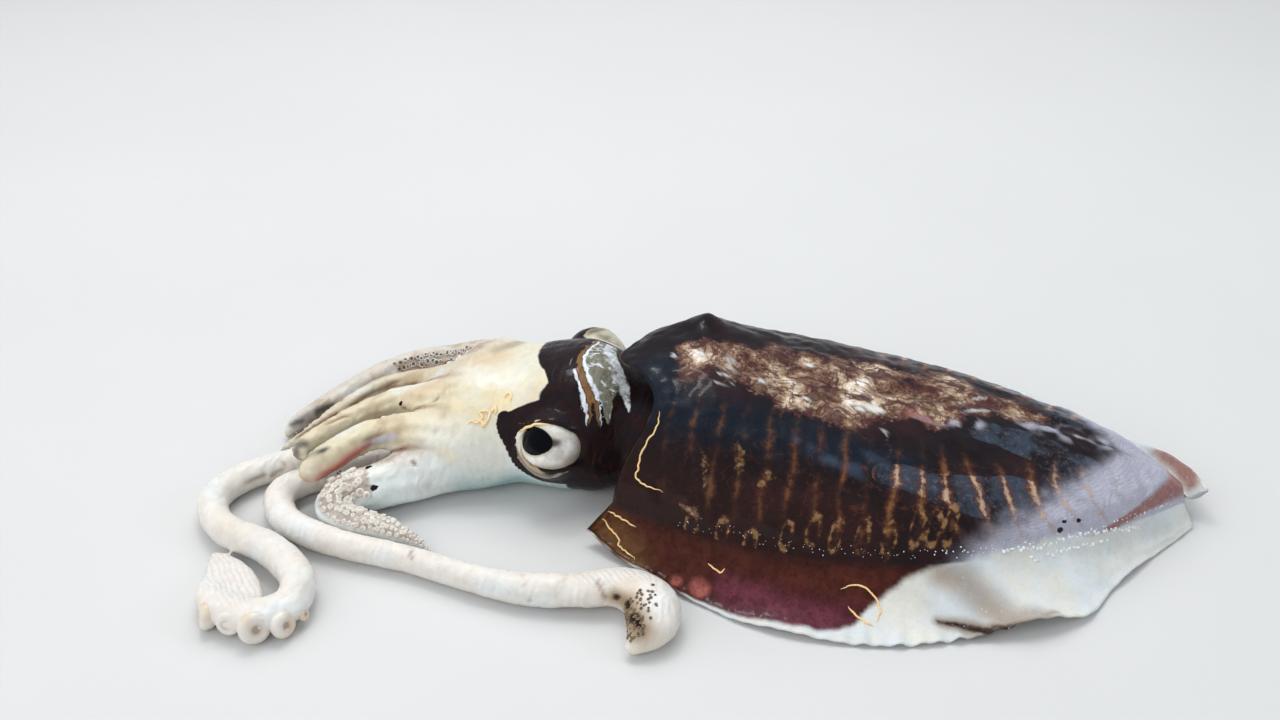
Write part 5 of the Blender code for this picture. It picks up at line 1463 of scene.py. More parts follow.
    bare = tree.minus(0.3, tree.times(pale, 0.24))
    colour = darker(colour, tree.times(dots, bare))
    stars = tree.use(groups["Pigment dots"], {"Vector": place, "Scale": 640.0, "Density": 0.20})
    freckles = tree.times(stars, tree.times(lilac, 0.45))
    colour = tree.mix(freckles, colour, tones.pale_cool)
    tree.put(shader.inputs["Base Color"], colour)

    sheen = tree.cloud(place, 180.0, 4.0, 0.6)
    rough = tree.add("ShaderNodeMapRange", {"Value": sheen, "From Min": 0.3, "From Max": 0.7,
                                            "To Min": 0.20, "To Max": 0.48}).outputs[0]
    rough = tree.plus(rough, tree.times(mask["cream"], 0.12), clamp=True)
    tree.put(shader.inputs["Roughness"], rough)
    height = tree.use(groups["Skin relief"], {"Vector": place, "Wrinkle": mask["wrinkle"]})
    height = tree.minus(height, tree.times(pleat, 0.6))
    bump = tree.add("ShaderNodeBump", {"Height": height, "Strength": 0.35, "Distance": 0.0006})
    tree.put(shader.inputs["Normal"], bump.outputs[0])
    return material


def eye_material(tones, side):
    """A wet white eyeball with a dark pupil behind a clear coat."""
    groups = shared_groups()
    material, tree, shader = new_material("eyeball_" + ("left" if side < 0 else "right"),
                                          coat_weight=0.12, coat_roughness=0.03, roughness=0.25,
                                          specular_ior_level=0.12)
    place = tree.add("ShaderNodeTexCoord").outputs["Object"]

    def away(spot):
        outward = Vector((spot[0], spot[1] * side, spot[2])).normalized()
        middle = (EYE_PLACES[side] + outward * EYE_RADIUS) * MM
        offset = tree.add("ShaderNodeVectorMath", {0: place, 1: middle}, operation="SUBTRACT")
        flat = tree.add("ShaderNodeVectorMath", {0: offset.outputs[0], 1: PUPIL_SQUASH}, operation="MULTIPLY")
        node = tree.add("ShaderNodeVectorMath", {0: flat.outputs[0]}, operation="LENGTH")
        return tree.times(node.outputs["Value"], 1 / MM)

    wobble = tree.times(tree.minus(tree.cloud(place, 260.0), 0.5), 1.0)
    near = tree.plus(away(PUPIL_AIM), wobble)
    cloud = tree.cloud(place, 190.0, 4.0)
    white = tree.mix(tree.step(cloud, 0.35, 0.68), tones.eye_white, tones.eye_grey)
    white = tree.mix(tree.step(near, 8.4, 14.4), white, tones.eye_rim)
    glow = tree.mix(tree.step(near, 5.8, 7.2), tones.eye_ring, white)
    smudge = tree.plus(away(SMUDGE_AIM), tree.times(wobble, 1.6))
    spread = tree.times(tree.step(smudge, 0.7, 2.8), 0.9)
    glow = tree.mix(tree.minus(0.9, spread), glow, tones.eye_smudge)
    colour = tree.mix(tree.step(near, 5.6, 6.0), (0.001, 0.001, 0.002), glow)
    tree.put(shader.inputs["Base Color"], colour)
    height = tree.use(groups["Skin relief"], {"Vector": place, "Grain": 2200.0, "Wrinkle": 0.0})
    bump = tree.add("ShaderNodeBump", {"Height": height, "Strength": 0.08, "Distance": 0.0003})
    tree.put(shader.inputs["Normal"], bump.outputs[0])
    return material


def sucker_material(name, rim, hollow, patch, scale):
    """A wet cup: its colour runs from the rim to the hollow and varies from cup to cup."""
    groups = shared_groups()
    material, tree, shader = new_material(name, coat_weight=0.6, coat_roughness=0.08)
    place = tree.add("ShaderNodeTexCoord").outputs["Object"]
    depth = tree.attribute("depth")["Fac"]
    colour = tree.mix(depth, rim, hollow)
    spread = tree.step(tree.cloud(place, scale, 3.0), 0.42, 0.62)
    colour = tree.mix(tree.times(spread, 0.8), colour, tree.mix(depth, patch, hollow))
    tree.put(shader.inputs["Base Color"], colour)
    rough = tree.add("ShaderNodeMapRange", {"Value": tree.cloud(place, 700.0),
                                            "To Min": 0.2, "To Max": 0.45}).outputs[0]
    tree.put(shader.inputs["Roughness"], rough)
    height = tree.use(groups["Skin relief"], {"Vector": place, "Grain": 2400.0, "Wrinkle": 0.0})
    bump = tree.add("ShaderNodeBump", {"Height": height, "Strength": 0.25, "Distance": 0.0003})
    tree.put(shader.inputs["Normal"], bump.outputs[0])
    return material


def spot_material(name, colour, other):
    """A small wet raised spot of skin."""
    material, tree, shader = new_material(name, coat_weight=0.5, coat_roughness=0.1)
    place = tree.add("ShaderNodeTexCoord").outputs["Object"]
    spread = tree.noise(place, 900.0, 3.0)
    tree.put(shader.inputs["Base Color"], tree.mix(tree.step(spread.outputs[0], 0.4, 0.6), colour, other))
    rough = tree.add("ShaderNodeMapRange", {"Value": spread.outputs[0], "To Min": 0.15, "To Max": 0.4})
    tree.put(shader.inputs["Roughness"], rough.outputs[0])
    bump = tree.add("ShaderNodeBump", {"Height": spread.outputs[0], "Strength": 0.2, "Distance": 0.0002})
    tree.put(shader.inputs["Normal"], bump.outputs[0])
    return material


def cup_object(profile, sides):
    """A cup of unit radius round +Z from (radius, height) pairs, with how deep each point lies in it."""
    rings = [[Vector((r * math.cos(2 * math.pi * k / sides), r * math.sin(2 * math.pi * k / sides), h))
              for k in range(sides)] for r, h, _ in profile]
    cup = loft("cup", rings, Vector((0, 0, profile[-1][1])))
    depth = cup.data.attributes.new("depth", "FLOAT", "POINT")
    values = [d for _, _, d in profile for _ in range(sides)] + [profile[-1][2]]
    depth.data.foreach_set("value", values)
    return cup


def spots_on_skin(tree, middles, outs, longest):
    """Where rays from inside the skin leave it, with the number of each ray that does."""
    found = []
    for n, (middle, out) in enumerate(zip(middles, outs)):
        place, _, _, _ = tree.ray_cast(middle * MM, out, longest * MM)
        if place is not None and place.z > FLOOR_LIFT * MM:
            found.append((n, place))
    return found


def studded(name, spots, outs, sizes, cup, material, turn_seed):
    """A plain mesh of a cup set on each spot, made by Geometry Nodes."""
    mesh = bpy.data.meshes.new(name)
    mesh.from_pydata([tuple(p) for p in spots], [], [])
    out = mesh.attributes.new("out", "FLOAT_VECTOR", "POINT")
    out.data.foreach_set("vector", [c for v in outs for c in v])
    size = mesh.attributes.new("size", "FLOAT", "POINT")
    size.data.foreach_set("value", sizes)
    made = bpy.data.objects.new(name, mesh)
    bpy.context.scene.collection.objects.link(made)
    group, tree, entry, leave = node_group(
        "Stud " + name, "GeometryNodeTree",
        [("Geometry", "NodeSocketGeometry", None), ("Cup", "NodeSocketObject", None),
         ("Material", "NodeSocketMaterial", None), ("Size variation", "NodeSocketFloat", 0.15),
         ("Seed", "NodeSocketInt", 1)],
        [("Geometry", "NodeSocketGeometry")])
    facing = tree.add("GeometryNodeInputNamedAttribute", {"Name": "out"}, data_type="FLOAT_VECTOR")
    width = tree.add("GeometryNodeInputNamedAttribute", {"Name": "size"}, data_type="FLOAT")
    lean = tree.add("FunctionNodeAlignRotationToVector", {"Vector": facing.outputs[0]}, axis="Z")
    vary = tree.add("FunctionNodeRandomValue", {"Seed": entry.outputs["Seed"]}, data_type="FLOAT")
    spread = tree.times(tree.minus(vary.outputs[1], 0.5), entry.outputs["Size variation"])
    scale = tree.times(width.outputs[0], tree.plus(spread, 1.0))
    shape = tree.add("GeometryNodeObjectInfo", {"Object": entry.outputs["Cup"]})
    cups = tree.add("GeometryNodeInstanceOnPoints",
                    {"Points": entry.outputs["Geometry"], "Instance": shape.outputs["Geometry"],
                     "Rotation": lean.outputs[0], "Scale": scale})
    solid = tree.add("GeometryNodeRealizeInstances", {"Geometry": cups.outputs[0]})
    dressed = tree.add("GeometryNodeSetMaterial", {"Geometry": solid.outputs[0],
                                                   "Material": entry.outputs["Material"]})
    tree.put(leave.inputs[0], dressed.outputs[0])
    return applied(made, group, {"Cup": cup, "Material": material, "Size variation": 0.4, "Seed": turn_seed})


def applied(made, group, values):
    """Runs a node group on an object with the values of its named inputs, and keeps the plain mesh."""
    nodes = made.modifiers.new("nodes", "NODES")
    nodes.node_group = group
    sockets = {item.name: item.identifier for item in group.interface.items_tree
               if item.in_out == "INPUT"}
    for label, value in values.items():
        nodes[sockets[label]] = value
    mesh = evaluated_mesh(made)
    made.modifiers.clear()
    old = made.data
    made.data = mesh
    bpy.data.meshes.remove(old)
    mesh.shade_smooth()
    return made


def skin_tree():
    """The finished skin, for setting things on it."""
    skin = bpy.data.objects["skin"]
    bpy.context.view_layer.update()
    return BVHTree.FromObject(skin, bpy.context.evaluated_depsgraph_get())


def sucker_rows(route, first_tangent, oral, spacing, tilts, limits, uneven, fold=(2.0, None)):
    """Middles, outward ways and sizes of rows of suckers along a limb."""
    samples = route_samples(route, spacing)
    frames = route_frames(samples, first_tangent)
    chance = np.random.default_rng(5)
    middles, outs, sizes = [], [], []
    for i, ((place, radius), (tangent, _)) in enumerate(zip(samples, frames)):
        share = i / (len(samples) - 1)
        if not limits[0] < share < limits[1]:
            continue
        way = fold[1] if share > fold[0] else oral
        middle = square_to(way, tangent)
        across = tangent.cross(middle)
        for row, tilt in enumerate(tilts):
            along, aside, size = chance.normal(0, 1, 3) * uneven
            middles.append(place + tangent * (spacing * (0.5 * (row % 2) + 0.22 * along)))
            tilt += 0.09 * aside
            outs.append(middle * math.cos(tilt) + across * math.sin(tilt))
            sizes.append(radius * (1 + 0.2 * size))
    return middles, outs, sizes


def thread_piece(name, routes, width, material):
    """Thin tubes along routes, made by Geometry Nodes."""
    points, edges = [], []
    for route in routes:
        start = len(points)
        points += [tuple(p) for p in route]
        edges += [(start + i, start + i + 1) for i in range(len(route) - 1)]
    mesh = bpy.data.meshes.new(name)
    mesh.from_pydata(points, edges, [])
    made = bpy.data.objects.new(name, mesh)
    bpy.context.scene.collection.objects.link(made)
    group, tree, entry, leave = node_group(
        "Thread", "GeometryNodeTree",
        [("Geometry", "NodeSocketGeometry", None), ("Width", "NodeSocketFloat", 0.0007),
         ("Unevenness", "NodeSocketFloat", 0.5), ("Material", "NodeSocketMaterial", None)],
        [("Geometry", "NodeSocketGeometry")])
    line = tree.add("GeometryNodeMeshToCurve", {"Mesh": entry.outputs["Geometry"]})
    along = tree.add("GeometryNodeSplineParameter")
    place = tree.add("GeometryNodeInputPosition")
    ragged = tree.noise(place.outputs[0], 700.0, 2.0)
    swell = tree.plus(tree.times(ragged.outputs[0], entry.outputs["Unevenness"]), 0.6)
    ends = tree.minus(1.0, tree.math("POWER", tree.math("ABSOLUTE", tree.math(
        "SUBTRACT", tree.times(along.outputs["Factor"], 2.0), 1.0)), 4.0))
    taper = tree.times(swell, tree.plus(tree.times(ends, 0.85), 0.15))
    ring = tree.add("GeometryNodeCurvePrimitiveCircle", {"Resolution": 8, "Radius": 0.5})
    size = tree.times(taper, entry.outputs["Width"])
    tube_node = tree.add("GeometryNodeCurveToMesh", {"Curve": line.outputs[0],
                                                     "Profile Curve": ring.outputs[0],
                                                     "Scale": size, "Fill Caps": True})
    solid = tree.add("GeometryNodeRealizeInstances", {"Geometry": tube_node.outputs[0]})
    dressed = tree.add("GeometryNodeSetMaterial", {"Geometry": solid.outputs[0],
                                                   "Material": entry.outputs["Material"]})
    tree.put(leave.inputs[0], dressed.outputs[0])
    return applied(made, group, {"Width": width * MM, "Material": material})


def tone(name, text, value):
    """A colour that a user may change."""
    return bpy.props.FloatVectorProperty(name=name, description=text, default=value, size=3, min=0.0,
                                         max=1.0, subtype="COLOR")


def length(name, text, value, low):
    """A length in metres that a user may change."""
    return bpy.props.FloatProperty(name=name, description=text, default=value, min=low,
                                   subtype="DISTANCE", unit="LENGTH", precision=5)


def whole(name, text, value, low):
    """A count that a user may change."""
    return bpy.props.IntProperty(name=name, description=text, default=value, min=low)


def turning(name, text, degrees):
    """An angle that a user may change."""
    return bpy.props.FloatProperty(name=name, description=text, default=math.radians(degrees),
                                   subtype="ANGLE", unit="ROTATION")


# Each colour's key, what it is for, and its linear red, green and blue
TONES = {
    "mantle_dark": ("Darkest brown of the back and sides", 0.011, 0.007, 0.008),
    "mantle_plum": ("Warmer patches in the dark back", 0.03, 0.011, 0.012),
    "mantle_warm": ("Reddish brown low on the sides", 0.03, 0.009, 0.006),
    # Painted reflection: blue-green sheen on the dark shoulders
    "mantle_teal": ("Blue green cast of the shoulders", 0.006, 0.011, 0.02),
    # Painted reflection: blue sheen on the sides
    "mantle_blue": ("Torn blue film on the sides", 0.05, 0.085, 0.135),
    # Painted glints: pale blue flecks on the sheen and film
    "torn_blue": ("Pale flecks where the film is torn", 0.3, 0.42, 0.55),
    "film": ("Bare grey film on the rear of the sides", 0.04, 0.058, 0.085),
    "fin_brown": ("Front part of the fins", 0.075, 0.017, 0.01),
    "fin_plum": ("Purple part of the fins", 0.09, 0.02, 0.028),
    "fin_magenta": ("Pinkish zone at the fins' edge", 0.155, 0.036, 0.058),
    "bump_pink": ("Raised pink bump on the left fin", 0.46, 0.13, 0.11),
    "corner_gold": ("See-through front corners", 0.135, 0.062, 0.02),
    "fin_shadow": ("Shaded underside of the fins", 0.3, 0.2, 0.13),
    # Painted shade inside the mantle's opening
    "hollow": ("Inside of the mantle's opening", 0.012, 0.008, 0.007),
    "gold_bar": ("Thin cross lines on the sides", 0.18, 0.085, 0.028),
    "gold_oval": ("Row of oval marks low on the sides", 0.26, 0.15, 0.06),
    "cream_low": ("Brown in the worn band on the back", 0.17, 0.092, 0.05),
    "cream_band": ("Cream in the worn band on the back", 0.37, 0.255, 0.165),
    # Painted highlight: white flecks in the worn band on the back
    "cream_high": ("Bare white flecks on the back", 0.86, 0.84, 0.82),
    "cream_dark": ("Dark gaps in the worn band", 0.06, 0.018, 0.016),
    "lilac": ("Greyish rear of the sides", 0.47, 0.47, 0.55),
    "lilac_deep": ("Darker grain in the greyish rear", 0.25, 0.24, 0.32),
    "bar_rust": ("Red brown edges of the cross lines", 0.11, 0.034, 0.018),
    "bar_cream": ("Cross lines where the film is bare", 0.47, 0.33, 0.22),
    "pale_cool": ("White of the rear fin and belly", 0.62, 0.67, 0.69),
    "cream_pale": ("Palest cream in the worn band", 0.62, 0.5, 0.38),
    "yellow_flesh": ("Yellow patches on the head", 0.8, 0.64, 0.34),
    "pale_flesh": ("Whitest parts of the head", 0.78, 0.77, 0.68),
    "pale_warm": ("Warmer white of the rear fin and belly", 0.68, 0.67, 0.61),
    "rust": ("Reddish brown rims and streaks", 0.28, 0.095, 0.066),
    "rust_deep": ("Darker grain of the reddish rims", 0.15, 0.045, 0.034),
    "fold_brown": ("Golden brown streak between the folds", 0.215, 0.112, 0.045),
    "lid_tan": ("Tan edge of the lower lid", 0.3, 0.19, 0.095),
    "tip_grey": ("Dark grey tips of the left arms", 0.055, 0.055, 0.06),
    "white_dot": ("Raised white dots along the fins", 0.88, 0.9, 0.87),
    "fin_grey": ("Greyer, see-through parts of the rear fin", 0.44, 0.45, 0.41),
    "ink_warm": ("Warmer clouds in the dark bands", 0.022, 0.008, 0.007),
    # Blackish brown of the bands, also used for painted shade in crevices and hollows
    "ink": ("Blackish brown bands on the head", 0.01, 0.007, 0.009),
    "head_cream": ("Main colour of the head", 0.7, 0.66, 0.52),
    "head_teal": ("Cool underside of the head", 0.3, 0.46, 0.47),
    "warm_flesh": ("Buff tint on head and limbs", 0.64, 0.5, 0.33),
    "cool_flesh": ("Bluish tint on head and limbs", 0.72, 0.8, 0.82),
    "oral_pink": ("Inner side of the arms", 0.48, 0.36, 0.28),
    "stain": ("Brown stain on the crown", 0.34, 0.25, 0.16),
    "white_fold": ("Glossy folds behind the band", 0.72, 0.76, 0.8),
    "neck_grey": ("Mottled neck under the mantle's edge", 0.2, 0.2, 0.15),
    "arm_cream": ("Upper arms on the left", 0.68, 0.61, 0.44),
    "arm_buff": ("Arms in the middle of the crown", 0.62, 0.55, 0.42),
    "arm_pale": ("Lowest left arm", 0.74, 0.73, 0.66),
    "arm_pink": ("Upper right arm", 0.62, 0.57, 0.5),
    "tentacle": ("Feeding tentacles", 0.74, 0.7, 0.64),
    "eye_white": ("White of the eye", 0.88, 0.87, 0.84),
    "eye_grey": ("Grey clouds in the white", 0.56, 0.53, 0.46),
    "eye_ring": ("Ring round the pupil", 0.52, 0.48, 0.39),
    "eye_rim": ("Shaded edge of the eyeball", 0.3, 0.24, 0.18),
    "eye_smudge": ("Dark smudge beside the pupil", 0.03, 0.024, 0.026),
    "bead": ("Rims of the arm suckers", 0.8, 0.76, 0.69),
    "bead_dark": ("Hollows of the arm suckers", 0.4, 0.3, 0.22),
    "club_tan": ("Brown stain round the left club's suckers", 0.29, 0.2, 0.115),
    "club_cup": ("Small suckers on the left club", 0.075, 0.048, 0.03),
    # Painted glints: the bright gold of the threads by the eye and on the mantle
    "eye_thread": ("Pale golden wet edges by the eye", 1, 0.7, 0.36),
    "thread": ("Golden wet edges on the mantle", 1, 0.58, 0.22),
}


class CuttlefishTones(bpy.types.PropertyGroup):
    """The colours of the skin, eyes and suckers."""
    __annotations__ = {key: tone(key.replace("_", " ").capitalize(), text, value)
                       for key, (text, *value) in TONES.items()}


class CuttlefishDetail(bpy.types.PropertyGroup):
    """How finely the skin is built."""
    voxel: length("Fusing size", "Cell size that fuses head and arms", 0.0011, 0.0006)
    rounding: whole("Rounding", "Smoothing rounds where limbs meet", 6, 0)
    crown_step: length("Crown step", "Grid that grows the arms together", 0.0008, 0.0004)
    crown_rounding: whole("Crown rounding", "Smoothing of the arm bases", 24, 0)
    mantle_rings: whole("Mantle rings", "Rings along the mantle", 200, 20)
    back_columns: whole("Back columns", "Faces over the back", 104, 20)
    belly_columns: whole("Belly columns", "Faces under the belly", 24, 12)
    fin_rows: whole("Fin rows", "Faces across each fin's top", 22, 6)


class CuttlefishSuckers(bpy.types.PropertyGroup):
    """The suckers' sizes."""
    spacing: length("Spacing", "Distance between sucker rows", 0.0017, 0.001)
    width_share: bpy.props.FloatProperty(name="Width", description="Sucker radius as a share of the arm's",
                                         default=0.2, min=0.05, max=0.5, subtype="FACTOR")
    club_radius: length("Club sucker", "Radius of the club's suckers", 0.00055, 0.0003)


class CuttlefishStage(bpy.types.PropertyGroup):
    """The camera, floor and light."""
    lens: bpy.props.FloatProperty(name="Lens", description="Focal length for a 36 mm wide image",
                                  default=36.56, min=10.0)
    pitch: turning("Pitch", "How far the camera looks down", 31.0)
    turn: turning("Turn", "How far the camera is turned to the head", 12.0)
    place: bpy.props.FloatVectorProperty(name="Place", description="Where the camera stands",
                                         default=(-0.0095, -0.3731, 0.2714), subtype="XYZ",
                                         unit="LENGTH", precision=5)
    floor: tone("Floor", "Plain pale floor", (0.62, 0.62, 0.61))


def ride(piece, slot, *nodes):
    """Puts a finished piece on the body and hides the nodes that it stands for; the slot is not used."""
    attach(piece, "root")
    if nodes:
        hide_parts(*nodes)


class CUTTLEFISH_OT_skin(bpy.types.Operator):
    """Make the one skin over the mantle, fins, head, arms and tentacles"""
    bl_idname = "cuttlefish.skin"
    bl_label = "Make skin"

    def execute(self, context):
        look, tones = context.scene.cuttlefish_detail, context.scene.cuttlefish_tones
        points, faces, places = body_surface(look)
        relief = relief_of_body(points, places)
        paint = body_paint(points, places, tones)
        surfaces = [(points + surface_normals(points, faces) * relief[:, None], faces, paint)]
        fronts = [(head_surface(look), [arm.route for arm in ARMS.values()], list(ARMS))]
        for name in STALKS:
            routes = [STALKS[name], [STALKS[name][-1]] + CLUBS[name]]
            fronts.append((tentacle_surface(look, name), routes, [name, name]))
        for (points, faces), routes, limbs in fronts:
            places = limb_places(points, routes)
            paint = front_paint(points, tones, places, limbs)
            relief = relief_of_front(points, limbs[0] in ARMS, places[2])
            surfaces.append((points + surface_normals(points, faces) * relief[:, None], faces, paint))
        skin = joined_skin("skin", surfaces)
        skin.data.materials.append(skin_material(tones))
        flesh = [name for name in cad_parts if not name.startswith("eye")]
        ride(skin, "mantle", *flesh)
        return {"FINISHED"}


class CUTTLEFISH_OT_eyes(bpy.types.Operator):
    """Make both eyeballs"""
    bl_idname = "cuttlefish.eyes"
    bl_label = "Make eyes"

    def execute(self, context):
        for side, name in ((-1, "left"), (1, "right")):
            eye = ball("eyeball_" + name, EYE_PLACES[side], EYE_RADIUS, 64, 40)
            eye.data.materials.append(eye_material(context.scene.cuttlefish_tones, side))
            ride(eye, "eye", "eye_" + name)
        return {"FINISHED"}


class CUTTLEFISH_OT_arm_suckers(bpy.types.Operator):
    """Set four rows of suckers along the inner side of every arm"""
    bl_idname = "cuttlefish.arm_suckers"
    bl_label = "Make arm suckers"

    def execute(self, context):
        sizes, tones = context.scene.cuttlefish_suckers, context.scene.cuttlefish_tones
        cups = [cup_object(profile, 8) for profile in (GRAIN, CUP)]
        beads = [sucker_material("arm_sucker", tones.bead, tones.bead_dark, tones.arm_pink, 120.0),
                 sucker_material("brown_sucker", tones.bead, tones.ink_warm, tones.bead_dark, 160.0)]
        skin = skin_tree()
        for name, arm in ARMS.items():
            turned = TURNED.get(name, (2.0, None))
            middles, outs, radii = sucker_rows(arm.route, FORWARD, arm.oral, sizes.spacing / MM,
                                               ARM_TILTS, (SUCKERS_FROM.get(name, 0.1), 0.985), 0.8, turned)
            found = spots_on_skin(skin, middles, outs, SUCKER_RAY)
            widths = [max(radii[n] * sizes.width_share, 0.28) for n, _ in found]
            rows = studded("suckers_" + name, [p for _, p in found], [outs[n] for n, _ in found],
                           widths, cups[name == "right_2"], beads[name == "right_2"], 11)
            ride(rows, "arm")
        for cup in cups:
            bpy.data.objects.remove(cup)
        return {"FINISHED"}


class CUTTLEFISH_OT_club_suckers(bpy.types.Operator):
    """Set the small suckers on the left club and the large ones on the right"""
    bl_idname = "cuttlefish.club_suckers"
    bl_label = "Make club suckers"

    def execute(self, context):
        sizes, tones = context.scene.cuttlefish_suckers, context.scene.cuttlefish_tones
        skin = skin_tree()
        cup = cup_object(CUP, 8)
        dark = sucker_material("club_sucker", tones.club_tan, tones.club_cup, tones.club_cup, 320.0)
        middles, outs, radii = sucker_rows(CLUBS["left"], None, CLUB_ORAL, 1.25, CLUB_TILTS, (0.5, 0.99), 2.0)
        found = spots_on_skin(skin, middles, outs, SUCKER_RAY)
        rows = studded("suckers_club_left", [p for _, p in found], [outs[n] for n, _ in found],
                       [sizes.club_radius / MM] * len(found), cup, dark, 12)
        ride(rows, "tentacle")
        bpy.data.objects.remove(cup)
        cup = cup_object(BIG_CUP, 24)
        pale = sucker_material("large_sucker", tones.tentacle, tones.bead_dark, tones.warm_flesh, 60.0)
        middle = Vector(CLUBS["right"][2][:3])
        spots = [Vector(s[:3]) for s in BIG_SUCKERS]
        outs = [((s - middle).normalized() + Vector((0, -0.35, 0.35))).normalized() for s in spots]
        large = studded("large_suckers", [s * MM for s in spots], outs, [s[3] for s in BIG_SUCKERS],
                        cup, pale, 13)
        ride(large, "tentacle")
        bpy.data.objects.remove(cup)
        return {"FINISHED"}


class CUTTLEFISH_OT_skin_dots(bpy.types.Operator):
    """Set the pale raised dots along the foot of each fin and on the rear of the left one"""
    bl_idname = "cuttlefish.skin_dots"
    bl_label = "Make skin dots"

    def execute(self, context):
        tones = context.scene.cuttlefish_tones
        skin = skin_tree()
        middles, outs, sizes = [], [], []
        chance = np.random.default_rng(6)
        for angle in (math.pi - 0.16, 0.16):
            for n in range(150):
                share = 0.12 + 0.86 * n / 150 + chance.normal(0, 0.003)
                spot = mantle_point(share, angle + chance.normal(0.01, 0.035))
                middle = Vector((spot.x, smooth(MIDLINE, spot.x), spot.z - 1.5))
                middles.append(middle)
                outs.append((spot - middle).normalized())
                sizes.append(chance.uniform(0.10, 0.20) + 0.14 * (share > 0.55))
        for row in FIN_DOTS:
            for place, _ in route_samples([(*p, 0) for p in row], 1.15):
                aside = Vector(chance.normal(0, 0.35, 3))
                middle = Vector((place.x, smooth(MIDLINE, place.x), 4.0))
                middles.append(middle)
                outs.append((place + aside - middle).normalized())
                sizes.append(chance.uniform(0.38, 0.80))
        found = spots_on_skin(skin, middles, outs, DOT_RAY)
        dome = cup_object(DOME, 8)
        pale = spot_material("pale_dot", tones.white_dot, tones.pale_cool)
        dots = studded("skin_dots", [p for _, p in found], [outs[n] for n, _ in found],
                       [sizes[n] for n, _ in found], dome, pale, 14)
        ride(dots, "mantle")
        bpy.data.objects.remove(dome)
        return {"FINISHED"}


class CUTTLEFISH_OT_wet_threads(bpy.types.Operator):
    """Lay the golden wet threads, painted glints, on the edges of the skin"""
    bl_idname = "cuttlefish.wet_threads"
    bl_label = "Make wet threads"

    def execute(self, context):
        tones = context.scene.cuttlefish_tones
        skin = skin_tree()
        for name, threads, width, colour in (("wet_threads", GLINT_THREADS, 0.75, tones.thread),
                                             ("eye_threads", EYE_GLINT_THREADS, 1.15, tones.eye_thread)):
            routes = []
            for marks in threads:
                samples = route_samples([(*p, 0) for p in marks], 0.5)
                jitter = lumps(np.array([tuple(p) for p, _ in samples]), 1.8, 4.0)
                route = []
                for (place, _), shake in zip(samples, jitter):
                    aside = Vector((shake * 0.7, 0, shake * 0.4))
                    found, normal, _, _ = skin.find_nearest((place + aside) * MM)
                    route.append(found + normal * 0.0001)
                routes.append(route)
            gold = spot_material(name[:-1], colour, tones.yellow_flesh)
            ride(thread_piece(name, routes, width, gold), "mantle" if threads is GLINT_THREADS else "head")
        return {"FINISHED"}


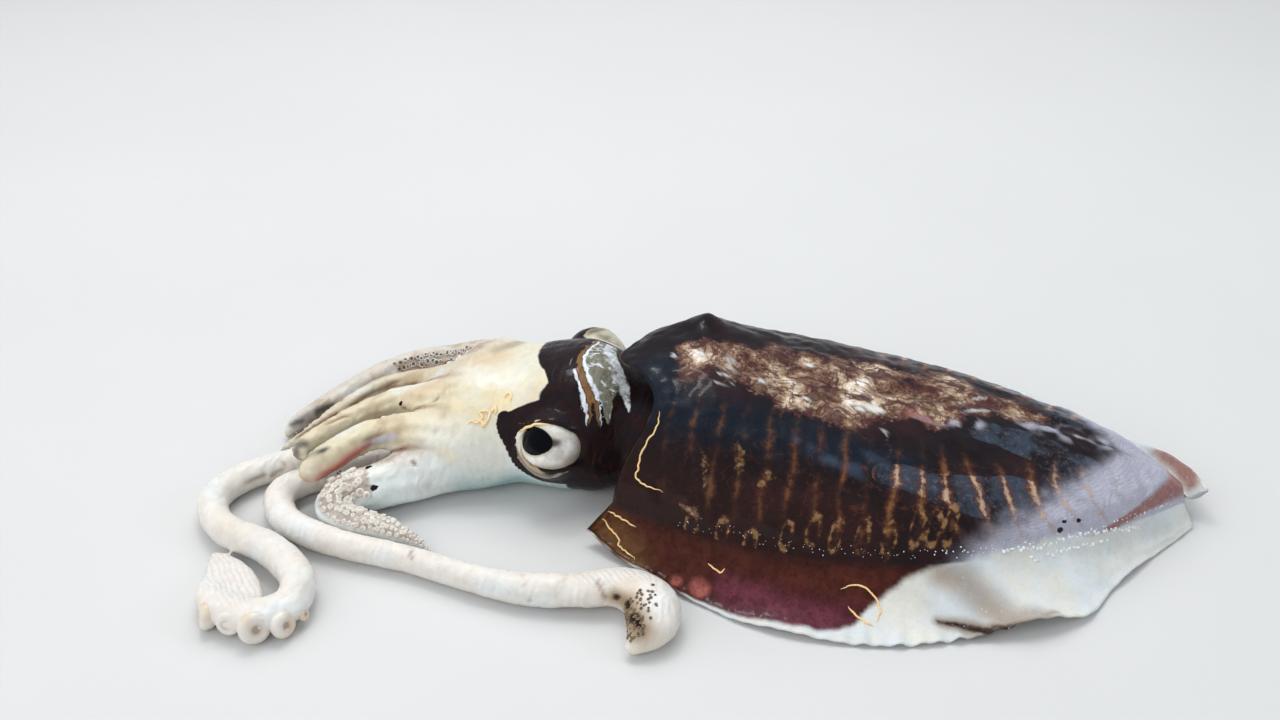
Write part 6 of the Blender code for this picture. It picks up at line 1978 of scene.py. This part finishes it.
class CUTTLEFISH_OT_stage(bpy.types.Operator):
    """Make the camera, the pale floor and the studio light"""
    bl_idname = "cuttlefish.stage"
    bl_label = "Make stage"

    def execute(self, context):
        scene, stage = context.scene, context.scene.cuttlefish_stage
        eye = bpy.data.cameras.new("camera")
        eye.lens = stage.lens
        camera = bpy.data.objects.new("camera", eye)
        camera.location = stage.place
        camera.rotation_euler = (math.pi / 2 - stage.pitch, 0, stage.turn)
        scene.collection.objects.link(camera)
        scene.camera = camera
        corners = [(x * FLOOR_HALF, y * FLOOR_HALF, 0) for x, y in ((-1, -1), (1, -1), (1, 1), (-1, 1))]
        floor = mesh_object("floor", corners, [(0, 1, 2, 3)])
        material, tree, shader = new_material("floor", roughness=0.55)
        place = tree.add("ShaderNodeTexCoord").outputs["Object"]
        cloud = tree.step(tree.cloud(place, 6.0), 0.2, 0.8)
        tree.put(shader.inputs["Base Color"], tree.mix(cloud, stage.floor, [c * 0.97 for c in stage.floor]))
        floor.data.materials.append(material)
        for name, place, aim, size, power, colour, mirrored in LIGHTS:
            lamp = bpy.data.lights.new(name, "AREA")
            lamp.shape = "RECTANGLE"
            lamp.size, lamp.size_y = size
            lamp.energy = power
            lamp.color = colour
            lit = bpy.data.objects.new(name, lamp)
            lit.location = place
            lit.visible_glossy = mirrored
            lit.rotation_euler = (Vector(aim) - Vector(place)).to_track_quat("-Z", "Y").to_euler()
            scene.collection.objects.link(lit)
        world = bpy.data.worlds.new("studio")
        world.use_nodes = True
        world.node_tree.nodes["Background"].inputs["Color"].default_value = (0.80, 0.88, 1.0, 1.0)
        world.node_tree.nodes["Background"].inputs["Strength"].default_value = WORLD_LIGHT
        scene.world = world
        scene.view_settings.view_transform = "Standard"
        return {"FINISHED"}


class CUTTLEFISH_PT_panel(bpy.types.Panel):
    """Lists the cuttlefish's pieces"""
    bl_idname = "CUTTLEFISH_PT_panel"
    bl_label = "Cuttlefish"
    bl_space_type = "VIEW_3D"
    bl_region_type = "UI"
    bl_category = "Cuttlefish"

    def draw(self, context):
        for step in STEPS:
            self.layout.operator(step.bl_idname)
        for group in (context.scene.cuttlefish_detail, context.scene.cuttlefish_suckers,
                      context.scene.cuttlefish_stage, context.scene.cuttlefish_tones):
            for key in group.bl_rna.properties.keys():
                if key not in ("rna_type", "name"):
                    self.layout.prop(group, key)


STEPS = (CUTTLEFISH_OT_stage, CUTTLEFISH_OT_skin, CUTTLEFISH_OT_eyes, CUTTLEFISH_OT_arm_suckers,
         CUTTLEFISH_OT_club_suckers, CUTTLEFISH_OT_skin_dots, CUTTLEFISH_OT_wet_threads)
GROUPS = {"cuttlefish_tones": CuttlefishTones, "cuttlefish_detail": CuttlefishDetail,
          "cuttlefish_suckers": CuttlefishSuckers, "cuttlefish_stage": CuttlefishStage}


def register():
    """Adds the classes and their settings to Blender."""
    for kind in (*GROUPS.values(), *STEPS, CUTTLEFISH_PT_panel):
        bpy.utils.register_class(kind)
    for name, kind in GROUPS.items():
        setattr(bpy.types.Scene, name, bpy.props.PointerProperty(type=kind))


def unregister():
    """Takes the classes and their settings away again."""
    for name in GROUPS:
        delattr(bpy.types.Scene, name)
    for kind in (CUTTLEFISH_PT_panel, *reversed(STEPS), *GROUPS.values()):
        bpy.utils.unregister_class(kind)


def main():
    """Makes every piece in order."""
    register()
    for step in STEPS:
        group, call = step.bl_idname.split(".")
        getattr(getattr(bpy.ops, group), call)()


if __name__ == "__main__":
    main()
